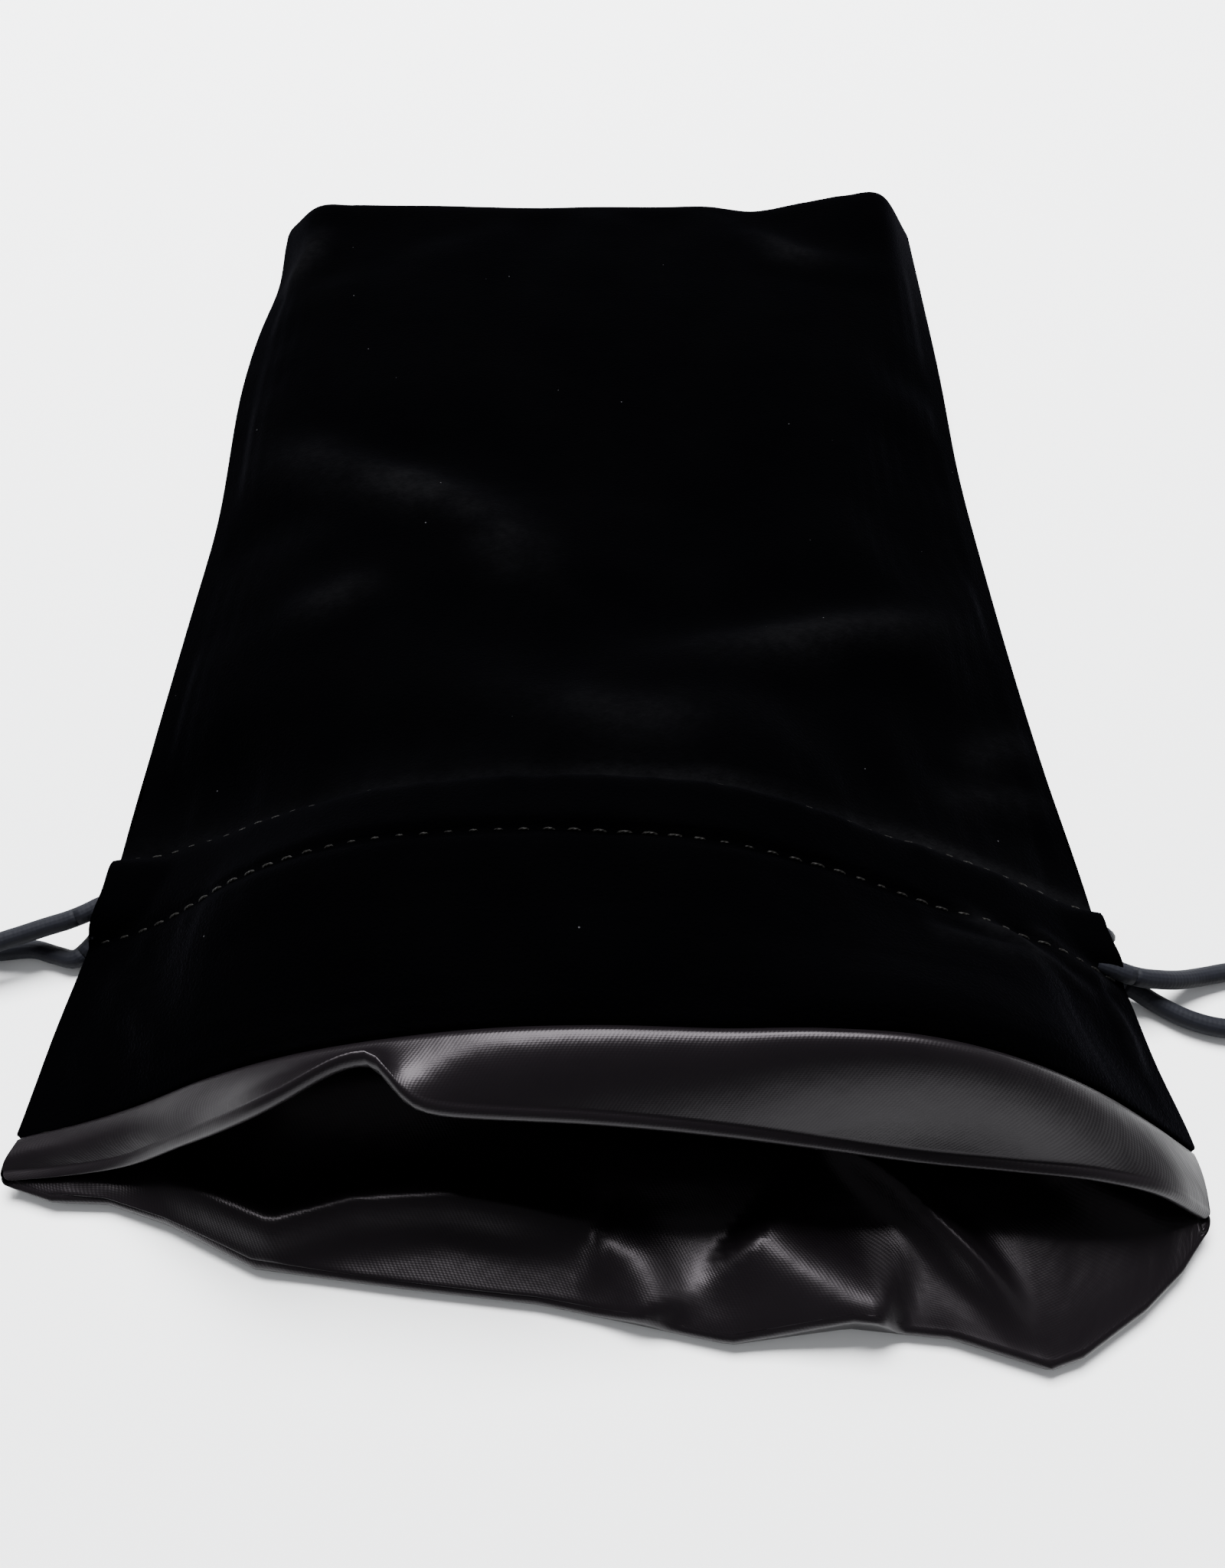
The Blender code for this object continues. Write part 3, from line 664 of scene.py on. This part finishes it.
def make_velvet(side, finish):
    t, cut = t_rows(side, VELVET_END - 0.03)
    rows = [(row, 0.0, VELVET, 0.0, 0.0) for row in t]
    hem = ((0.0, 0.1), (0.025, 0.35), (0.035, 0.7))
    rows += [(VELVET_END + step, out, VELVET, 0.0, 0.0) for step, out in hem]
    faces = layered(side, rows, "velvet")
    flip = side == "back"
    pouch = cloth_halves(f"velvet_{side}_pouch_{{}}", faces, (0, cut), finish, flip, bend_pouch)
    mouth = cloth_halves(f"velvet_{side}_mouth_{{}}", faces, (cut, len(rows) - 1), finish, flip, bend_mouth)
    return pouch, mouth


def make_lining(side, finish):
    """The lining's band comes out from under the velvet's edge and folds over the lip into the bag."""
    t, cut = t_rows(side, LIP)
    thin = LINING_IN - LINING_OUT
    rows = [(VELVET_END + step, out, out + thin, 0.0, 0.0)
            for step, out in ((-0.05, VELVET + 0.05), (0.01, VELVET), (0.04, 0.8), (0.09, BAND_OUT))]
    band = np.linspace(VELVET_END + 0.16, LIP - 0.02, 13)
    rows += [(place, BAND_OUT, BAND_IN, 0.0, 0.0) for place in band]
    lip_depth = LIP_DEPTH[side]
    middle = (BAND_OUT + lip_depth) / 2
    outer_radius, inner_radius = (lip_depth - BAND_OUT) / 2, (lip_depth - thin - BAND_IN) / 2
    for turn in np.radians(np.linspace(0, 180, 15)):
        rows.append((
            LIP, middle - outer_radius * math.cos(turn), middle - inner_radius * math.cos(turn),
            outer_radius * math.sin(turn), inner_radius * math.sin(turn),
        ))
    folded = len(rows)
    for row in t[::-1][1:]:
        deeper = (lip_depth - LINING_IN) * ease((row - VELVET_END - 0.1) / 0.9)
        rows.append((row, LINING_IN + deeper, LINING_OUT + deeper, 0.0, 0.0))
    cut = folded + len(t) - 2 - cut
    faces = layered(side, rows, "lining")
    flip = side == "back"
    mouth = cloth_halves(f"lining_{side}_mouth_{{}}", faces, (0, cut), finish, flip, bend_mouth)
    pouch = cloth_halves(f"lining_{side}_pouch_{{}}", faces, (cut, len(rows) - 1), finish, flip, bend_pouch)
    return pouch, mouth


def declare_cloth(pieces, panel):
    for piece in pieces:
        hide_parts(panel)


# --- Thread ---

# From one stitch to the next, a stitch's length, and the thread's radius.
CASING_STITCH = (2.7, 1.6, 0.17)
FACING_STITCH = (2.4, 2.0, 0.12)
ROW_END = 0.985             # the share of the half width that a row of stitches spans
LOWER_PROUD = 0.2           # how far the lower row stands out of the pile


def stitch(line, start, length, radius, sink):
    """One stitch along a line, its ends going down into the cloth."""
    far = along(line)
    shares = np.array((0.0, 0.12, 0.3, 0.5, 0.7, 0.88, 1.0))
    spots = np.stack([np.interp(start + shares * length, far, line[:, k]) for k in range(3)], axis=1)
    spots -= sink * (np.abs(shares - 0.5) * 2)[:, None] ** 3
    return tube_parts(spots, radius, 6)


def stitch_row(name, line, sink, finish, bend, size=CASING_STITCH, node=None):
    """A row of stitches along a line, as one piece on each side of the middle."""
    pitch, length, radius = size
    line = np.asarray(line, float)
    far = along(line)
    starts = np.arange(pitch / 4, far[-1] - length, pitch)
    middles = np.interp(starts + length / 2, far, line[:, 0])
    for hand, chosen in (("left", starts[middles < 0]), ("right", starts[middles >= 0])):
        if len(chosen):
            parts = [stitch(line, start, length, radius, np.asarray(sink)) for start in chosen]
            end = "thread" if len(chosen) == len(starts) else hand
            piece = add_mesh(f"{name}_{end}", parts, finish)
            bend(piece, hand)
            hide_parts(node or name)


def seam_line(t, depth, kind="velvet", s_end=1.0, hand=None):
    """A line in the seam between front and back, along the rows t of one side or along the closed end."""
    if hand is None:
        share = np.linspace(-s_end, s_end, 121)
        t = np.full(len(share), -1.0)
    else:
        share = np.full(len(t), -1.0 if hand == "left" else 1.0)
    front, back = (place_on(side, t, share, depth, kind) for side in ("front", "back"))
    return (front + back) / 2


def make_thread(finish):
    shares = np.linspace(-ROW_END, ROW_END, 401)
    down = (0.0, 0.0, 0.32)
    for row, t, proud in (("upper", UPPER_ROW, 0.0), ("lower", LOWER_ROW, LOWER_PROUD)):
        t = np.full(401, float(t))
        front = place_on("front", t, shares, -proud)
        stitch_row(f"{row}_casing_stitch_front", front, down, finish, bend_mouth)
        back = place_on("back", t, shares * 0.95, LINING_IN + 0.12, "lining")
        stitch_row(f"{row}_casing_stitch_back", back, down, finish, bend_mouth)
    for side in ("front", "back"):
        line = place_on(side, np.full(401, VELVET_END + 0.03), shares, 0.95, "lining")
        stitch_row(f"facing_seam_{side}", line, (0, 0, 0.2), finish, bend_mouth, FACING_STITCH)
    for hand, sign in (("left", -1), ("right", 1)):
        cut = CUT_Y + CUT_SLOPE * 62.0 * sign
        pouch = seam_line(np.linspace(-0.6, 4.0, 200), 0.8, hand=hand)
        inward = (-0.5 * sign, 0.0, 0.0)
        stitch_row(f"{hand}_side_seam", pouch[pouch[:, 1] > cut], inward, finish, bend_pouch)
        ruffle = seam_line(np.linspace(LOWER_ROW + 0.15, VELVET_END - 0.08, 60), 0.8, hand=hand)
        stitch_row(f"{hand}_ruffle_seam", ruffle, inward, finish, bend_mouth)
        seam = f"{hand}_lining_seam"
        lining = seam_line(np.linspace(-0.6, LIP - 0.1, 300), LINING_IN, "lining", hand=hand)
        deep = lining[:, 1] > cut
        stitch_row(f"{seam}_pouch", lining[deep], inward, finish, bend_pouch, node=seam)
        stitch_row(f"{seam}_mouth", lining[~deep], inward, finish, bend_mouth, node=seam)
    velvet_end, lining_end = seam_line(None, 0.35, s_end=0.95), seam_line(None, LINING_IN, "lining", 0.95)
    stitch_row("bottom_seam", velvet_end, (0, 0.5, 0), finish, bend_pouch)
    stitch_row("lining_bottom_seam", lining_end, (0, 0.5, 0), finish, bend_pouch)


# --- Cords ---

CORD_RADIUS = 1.15
LANE, LANE_RISE, LANE_SHIFT = 1.42, 0.12, 0.3
SLOT_X, TAIL_BEND_X = 62.8, 72.8
KNOT_HEIGHT, KNOT_LENGTH = 3.7, 7.5
KNOT_TURNS, KNOT_COIL = 2.8, 2.35                   # turns of the barrel knot and their radius
COIL_TURN, KNOT_RADIUS = 235.0, 15.5              # degrees of turn up to the knot, and its distance
COIL_CENTRES = {"left": (-99.0, -73.0), "right": (99.0, -74.9)}
COIL_RADII = {"left_front": 14.0, "left_back": 17.0, "right_front": 17.0, "right_back": 14.0}

# A short end through the knot and out of it: how far forward, how far to its side, and how far down.
SHORT_END = (
    (-1.2, 0.9, 0), (1.5, 0.8, 0), (5.0, 0.7, 0),
    (8.0, 1.1, 0.3), (11.5, 1.6, 1.7), (15.5, 2.2, 2.35),
)

# Free stretches of the cords, from the middle of each casing slot to where the coil begins: X, Y, Z.
# Near the slots they lie up to 5.4 mm from the CAD's, to agree with the photograph.
TAILS = {
    "left_front": (
        (-60.3, -51.6, 5.5), (-62.0, -52.6, 5.4), (-63.9, -53.4, 5.2), (-66.4, -54.2, 5.0),
        (-69.2, -55.2, 4.8), (-72.0, -56.2, 4.6), (-74.8, -57.4, 4.0), (-78.0, -58.6, 2.4),
        (-82.0, -59.0, 1.4), (-90.0, -59.0, 1.3),
    ),
    "left_back": (
        (-58.6, -50.2, 2.85), (-60.3, -52.4, 2.5), (-61.7, -55.0, 1.9), (-63.6, -56.7, 1.4),
        (-66.0, -56.2, 1.3), (-68.7, -55.4, 1.3), (-73.6, -55.7, 1.3), (-76.6, -55.7, 1.3),
        (-80.5, -55.5, 1.3), (-90.0, -55.9, 1.3),
    ),
    "right_front": (
        (60.4, -59.9, 5.5), (62.3, -60.6, 5.2), (63.9, -60.9, 4.9), (66.2, -60.8, 4.2),
        (69.0, -60.3, 3.0), (72.2, -59.4, 1.8), (76.0, -58.5, 1.3), (82.0, -57.6, 1.3), (90.0, -57.6, 1.3),
    ),
    "right_back": (
        (58.6, -59.2, 2.85), (61.4, -60.0, 2.8), (63.9, -61.1, 2.2), (66.7, -62.7, 1.4),
        (70.0, -64.6, 1.3), (74.0, -65.7, 1.3), (80.0, -64.6, 1.3), (88.0, -61.8, 1.3),
    ),
}


def casing_leg(side, lane):
    """A cord's centre line inside the casing, from left to right."""
    shares = 0.93 * np.sin(np.radians(np.linspace(-90, 90, 25)))
    t = np.full(len(shares), float(CASING_MIDDLE))
    velvet = place_on(side, t, shares, VELVET)
    lining = place_on(side, t, shares, LINING_OUT, "lining")
    points = (velvet + lining) / 2
    points[:, 1] += lane - LANE_SHIFT * shares**2
    if side == "front":
        points[:, 2] -= math.copysign(LANE_RISE, lane)
    return points


def coil_end(hand, radius):
    """The end of a cord's turn on the table, up to the knot."""
    centre_x, centre_y = COIL_CENTRES[hand]
    sign = -1 if hand == "left" else 1
    steps = 12
    points = []
    for n in range(steps + 1):
        angle = math.radians(COIL_TURN * n / steps)
        rise = (KNOT_HEIGHT - CORD_RADIUS) * float(ease((n - steps + 2) / 2))
        points.append((
            centre_x + sign * radius * math.sin(angle),
            centre_y + radius * math.cos(angle),
            CORD_RADIUS + 0.05 + rise,
        ))
    return points


def crossing(route, x):
    """How far along a route it first and last crosses the plane at x."""
    far = along(route)
    hits = np.nonzero(np.diff(np.sign(route[:, 0] - x)))[0]
    return far[hits[0]], far[hits[-1]]


def part_of(route, start, end, spacing):
    """Evenly spaced points on a route from start to end, both distances along it."""
    far = along(route)
    wanted = np.linspace(start, end, max(3, round((end - start) / spacing)))
    return np.stack([np.interp(wanted, far, route[:, k]) for k in range(3)], axis=1)


def make_tail(line, hand, leg, finish):
    """A free end of a cord."""
    made = add_mesh(f"{hand}_{leg}_tail", [tube_parts(line, CORD_RADIUS, 14, rounded=False)], finish)
    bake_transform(made)
    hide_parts(f"{hand}_cord_{leg}_tail")


def make_cord(hand, lane, knot, finish):
    """One cord: two free tails from one side's slot, and a loop through the whole casing between them."""
    sign = -1 if hand == "left" else 1
    other = "right" if hand == "left" else "left"
    front_leg, back_leg = casing_leg("front", lane), casing_leg("back", lane)
    if sign > 0:
        front_leg, back_leg = front_leg[::-1], back_leg[::-1]
    seam_y = RINGS[CASING_MIDDLE, 0 if sign > 0 else 3] + lane - LANE_SHIFT
    turn = [(-sign * x, seam_y, z) for x, z in ((59.6, 5.7), (61.0, 5.0), (60.9, 3.7), (58.8, 2.9))]
    front_end = [*TAILS[f"{hand}_front"], *coil_end(hand, COIL_RADII[f"{hand}_front"])]
    back_end = [*TAILS[f"{hand}_back"], *coil_end(hand, COIL_RADII[f"{hand}_back"])]
    whole = [*front_end[::-1], *front_leg[1:], *turn, *back_leg[::-1][:-1], *back_end]
    route = smooth_line(whole, 0.25)
    front_exit, back_exit = crossing(route, sign * SLOT_X)
    total = along(route)[-1]
    make_tail(part_of(route, 0.0, front_exit, 0.5)[::-1], hand, "front", finish)
    make_tail(part_of(route, back_exit, total, 0.5), hand, "back", finish)
    loop = part_of(route, front_exit, back_exit, 0.8)
    middles = np.nonzero(np.diff(np.sign(loop[:, 0])))[0]
    first, last = middles[0], middles[-1]
    near = [loop[: first + 1], loop[last + 1:]]
    far_side = [loop[first: last + 2]]
    near[0] = np.vstack([near[0], loop[first + 1]])
    near[1] = np.vstack([loop[last], near[1]])
    for side, stretches in ((hand, near), (other, far_side)):
        parts = [tube_parts(line, CORD_RADIUS, 12, rounded=False) for line in stretches]
        made = add_mesh(f"{hand}_cord_loop_{side}_half", parts, finish)
        bend_mouth(made, side)
        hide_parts(f"{hand}_cord_loop")


def make_knot(hand, finish):
    """A barrel knot that joins a cord's two ends, with the short ends standing out of it."""
    sign = -1 if hand == "left" else 1
    centre_x, centre_y = COIL_CENTRES[hand]
    angle = math.radians(COIL_TURN)
    heading = np.array((sign * math.cos(angle), -math.sin(angle), 0.0))
    across = np.array((-heading[1], heading[0], 0.0))
    up = np.array((0.0, 0.0, 1.0))
    out_x, out_y = KNOT_RADIUS * math.sin(angle), KNOT_RADIUS * math.cos(angle)
    start = np.array((centre_x + sign * out_x, centre_y + out_y, KNOT_HEIGHT))
    helix = []
    for n in range(61):
        share = n / 60
        tuck = 1 - 0.85 * (1 - ease(share / 0.12)) - 0.85 * (1 - ease((1 - share) / 0.12))
        radius = KNOT_COIL * max(float(tuck), 0.15)
        turn = 2 * math.pi * KNOT_TURNS * share
        distance = 1.2 + (KNOT_LENGTH - 1.6) * share
        helix.append(start + heading * distance + radius * (across * math.cos(turn) + up * math.sin(turn)))
    parts = [tube_parts(smooth_line(helix, 0.35), CORD_RADIUS, 14)]
    for offset in (-1.3, 1.3):
        strand = [start + heading * forward + across * offset * spread - up * drop
                  for forward, spread, drop in SHORT_END]
        parts.append(tube_parts(smooth_line(strand, 0.4), CORD_RADIUS, 14))
    knot = add_mesh(f"{hand}_knot", parts, finish)
    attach(knot, f"{hand}_cord")
    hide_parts(f"{hand}_cord_knot")
    return knot


# --- Materials ---

class Surface:
    """A material's node tree, with short ways to add and join nodes."""

    def __init__(self, name):
        self.material = bpy.data.materials.new(name)
        self.material.use_nodes = True
        self.tree = self.material.node_tree
        self.shader = self.tree.nodes["Principled BSDF"]

    def add(self, kind, inputs=(), **settings):
        node = self.tree.nodes.new(kind)
        for name, value in settings.items():
            setattr(node, name, value)
        for name, value in dict(inputs).items():
            self.put(node, name, value)
        return node

    def put(self, node, name, value):
        if isinstance(value, bpy.types.NodeSocket):
            self.tree.links.new(value, node.inputs[name])
        else:
            node.inputs[name].default_value = value

    def maths(self, operation, a, b=0.0, c=0.0):
        node = self.add("ShaderNodeMath", operation=operation)
        for n, value in enumerate((a, b, c)):
            self.put(node, n, value)
        return node.outputs[0]

    def noise(self, where, scale, detail=2.0):
        node = self.add("ShaderNodeTexNoise", {"Vector": where, "Scale": scale, "Detail": detail})
        return node.outputs["Fac"]

    def ramp(self, value, low, high, to_low=0.0, to_high=1.0):
        node = self.add("ShaderNodeMapRange", interpolation_type="SMOOTHSTEP")
        for n, number in enumerate((value, low, high, to_low, to_high)):
            self.put(node, n, number)
        return node.outputs["Result"]

    def bump(self, height, distance, strength, normal=None):
        values = {"Height": height, "Distance": distance * MM, "Strength": strength}
        node = self.add("ShaderNodeBump", values)
        if normal:
            self.put(node, "Normal", normal)
        return node.outputs["Normal"]

    def cloth_uv(self):
        """Places over the cloth, across and along."""
        cloth = self.add("ShaderNodeUVMap", uv_map="cloth").outputs["UV"]
        split = self.add("ShaderNodeSeparateXYZ", {"Vector": cloth})
        return cloth, split.outputs["X"], split.outputs["Y"]

    def finished(self, values):
        """The material, with these inputs of its shader set."""
        for name, value in values.items():
            self.put(self.shader, name, value)
        return self.material

    def mix(self, share, a, b):
        node = self.add("ShaderNodeMix", {"Factor": share}, data_type="RGBA")
        for name, colour in (("A", a), ("B", b)):
            number = next(n for n, s in enumerate(node.inputs) if s.name == name and s.type == "RGBA")
            self.put(node, number, colour)
        return next(s for s in node.outputs if s.type == "RGBA")


def velvet_finish():
    made = Surface("black_velvet")
    spot = made.add("ShaderNodeTexCoord").outputs["Object"]
    cloth = made.add("ShaderNodeUVMap", uv_map="cloth").outputs["UV"]
    pile_and_painted_sheen = made.noise(spot, 2600.0, 3.0)
    patches = made.noise(spot, 60.0, 3.0)
    lint = made.add("ShaderNodeTexVoronoi", {"Vector": cloth, "Scale": 0.22, "Randomness": 1.0})
    speck = made.ramp(lint.outputs["Distance"], 0.028, 0.016)
    chance = made.add("ShaderNodeSeparateColor", {"Color": lint.outputs["Color"]}).outputs["Red"]
    speck = made.maths("MULTIPLY", speck, made.maths("GREATER_THAN", chance, 0.55))
    # Painted sheen: the point attribute lightens the velvet's base colour along its folds and above the
    # casing.
    painted_sheen_share = made.add("ShaderNodeAttribute", attribute_name="pile_and_painted_sheen").outputs["Fac"]
    grain = made.ramp(made.noise(spot, 900.0, 4.0), 0.25, 0.75, 0.6, 1.0)
    painted_sheen_streaks = made.maths("MULTIPLY", painted_sheen_share, grain)
    painted_sheen_streaks = made.maths("MULTIPLY", painted_sheen_streaks, made.ramp(patches, 0.35, 0.65, 0.35, 1.0))
    base = made.mix(patches, (0.0002, 0.0002, 0.0003, 1.0), (0.0005, 0.0005, 0.0006, 1.0))
    # the lighter colour of the painted sheen
    base = made.mix(painted_sheen_streaks, base, (0.0023, 0.0023, 0.0026, 1.0))
    return made.finished({
        "Base Color": made.mix(speck, base, (0.03, 0.03, 0.033, 1.0)),
        "Roughness": 0.9,
        "Specular IOR Level": 0.0,
        "Sheen Weight": 0.008,
        "Sheen Roughness": 0.35,
        "Sheen Tint": (0.8, 0.8, 1.0, 1.0),
        "Normal": made.bump(pile_and_painted_sheen, 0.25, 0.6, made.bump(patches, 1.2, 0.5)),
    })


def satin_finish():
    made = Surface("charcoal_satin")
    cloth, across, along_it = made.cloth_uv()
    diagonal = made.maths("ADD", across, made.maths("MULTIPLY", along_it, 0.6))
    twill = made.maths("SINE", made.maths("MULTIPLY", diagonal, 2 * math.pi / 0.42))
    floats = made.maths("SINE", made.maths("MULTIPLY", along_it, 2 * math.pi / 0.24))
    weave = made.maths("ADD", twill, made.maths("MULTIPLY", floats, 0.4))
    soft = made.noise(cloth, 0.10, 3.0)
    crumple = made.noise(cloth, 0.55, 2.0)
    tangent = made.add("ShaderNodeTangent", direction_type="UV_MAP", uv_map="cloth")
    normal = made.bump(crumple, 0.05, 0.35, made.bump(soft, 0.6, 0.35))
    return made.finished({
        "Base Color": made.mix(soft, (0.0018, 0.0014, 0.0018, 1.0), (0.0034, 0.0027, 0.0034, 1.0)),
        "Roughness": 0.35,
        "Specular IOR Level": 0.12,
        "Specular Tint": (1.0, 0.92, 1.0, 1.0),
        "Anisotropic": 0.5,
        "Tangent": tangent.outputs[0],
        "Sheen Weight": 0.01,
        "Sheen Roughness": 0.4,
        "Normal": made.bump(weave, 0.009, 0.35, normal),
    })


def cord_finish():
    made = Surface("navy_cord")
    _, round_it, along_it = made.cloth_uv()
    around = made.maths("MULTIPLY", round_it, 2 * math.pi * 8)
    down = made.maths("MULTIPLY", along_it, 2 * math.pi / 1.1)
    one_way = made.maths("SINE", made.maths("ADD", around, down))
    other_way = made.maths("SINE", made.maths("SUBTRACT", around, down))
    braid = made.maths("MULTIPLY", one_way, other_way)
    fuzz = made.noise(made.add("ShaderNodeTexCoord").outputs["Object"], 1500.0, 3.0)
    return made.finished({
        "Base Color": made.mix(fuzz, (0.0022, 0.0026, 0.0046, 1.0), (0.0045, 0.0051, 0.0085, 1.0)),
        "Roughness": 0.7,
        "Specular IOR Level": 0.12,
        "Sheen Weight": 0.012,
        "Normal": made.bump(fuzz, 0.08, 0.5, made.bump(braid, 0.03, 0.4)),
    })


def thread_finish():
    made = Surface("black_thread")
    _, round_it, along_it = made.cloth_uv()
    around = made.maths("MULTIPLY", round_it, 2 * math.pi * 2)
    twist = made.maths("ADD", around, made.maths("MULTIPLY", along_it, 2 * math.pi / 0.5))
    return made.finished({
        "Base Color": (0.005, 0.0048, 0.0045, 1.0),
        "Roughness": 0.5,
        "Specular IOR Level": 0.06,
        "Normal": made.bump(made.maths("SINE", twist), 0.04, 0.6),
    })


def floor_finish():
    made = Surface("pale_floor")
    grain = made.noise(made.add("ShaderNodeTexCoord").outputs["Object"], 40.0, 2.0)
    return made.finished({
        "Base Color": made.mix(grain, (0.86, 0.87, 0.88, 1.0), (0.88, 0.89, 0.90, 1.0)),
        "Roughness": 0.9,
        "Specular IOR Level": 0.1,
    })


# --- Floor and light ---

HORIZON, SKY = 0.9, 0.43    # how bright the studio is, low down and overhead


def add_floor(finish):
    size = 4000.0
    corners = [(-size, -size, 0.0), (size, -size, 0.0), (size, size, 0.0), (-size, size, 0.0)]
    made = add_mesh("floor", [(corners, [(0, 1, 2, 3)], [[(0, 0), (1, 0), (1, 1), (0, 1)]])], finish)


def add_light(name, place, target, size, power):
    data = bpy.data.lights.new(name, "AREA")
    data.shape = "RECTANGLE"
    data.size, data.size_y = (c * MM for c in size)
    data.energy = power
    made = bpy.data.objects.new(name, data)
    made.location = [c * MM for c in place]
    direction = Vector(target) - Vector(place)
    made.rotation_euler = direction.to_track_quat("-Z", "Y").to_euler()
    bpy.context.scene.collection.objects.link(made)


def add_world():
    """A soft white studio, brighter low down than overhead."""
    world = bpy.data.worlds.new("studio")
    world.use_nodes = True
    nodes, links = world.node_tree.nodes, world.node_tree.links
    way = nodes.new("ShaderNodeTexCoord").outputs["Generated"]
    height = nodes.new("ShaderNodeSeparateXYZ")
    strength = nodes.new("ShaderNodeMapRange")
    strength.interpolation_type = "SMOOTHSTEP"
    links.new(way, height.inputs[0])
    links.new(height.outputs["Z"], strength.inputs["Value"])
    for name, value in (("From Min", 0.0), ("From Max", 0.3), ("To Min", HORIZON), ("To Max", SKY)):
        strength.inputs[name].default_value = value
    background = nodes["Background"]
    background.inputs["Color"].default_value = (0.97, 0.98, 1.0, 1.0)
    links.new(strength.outputs["Result"], background.inputs["Strength"])
    bpy.context.scene.world = world


# --- The whole bag ---

def main():
    for side in ("front", "back"):
        SETTLED[side] = settle(side)
    velvet, satin, cord, thread = velvet_finish(), satin_finish(), cord_finish(), thread_finish()
    for side, rests_on in (("back", ["floor"]), ("front", ["velvet_back_panel"])):
        pouch, mouth = make_velvet(side, velvet)
        declare_cloth(pouch, f"velvet_{side}_panel")
        declare_cloth(mouth, f"velvet_{side}_panel")
        pouch, mouth = make_lining(side, satin)
        declare_cloth(pouch, f"lining_{side}_panel")
        declare_cloth(mouth, f"lining_{side}_panel")
    make_thread(thread)
    for hand, lane in (("left", LANE), ("right", -LANE)):
        make_cord(hand, lane, make_knot(hand, cord), cord)
    add_floor(floor_finish())
    add_world()
    add_light("overhead", (-60, 450, 820), (0, -20, 0), (600, 480), 52.0)


main()
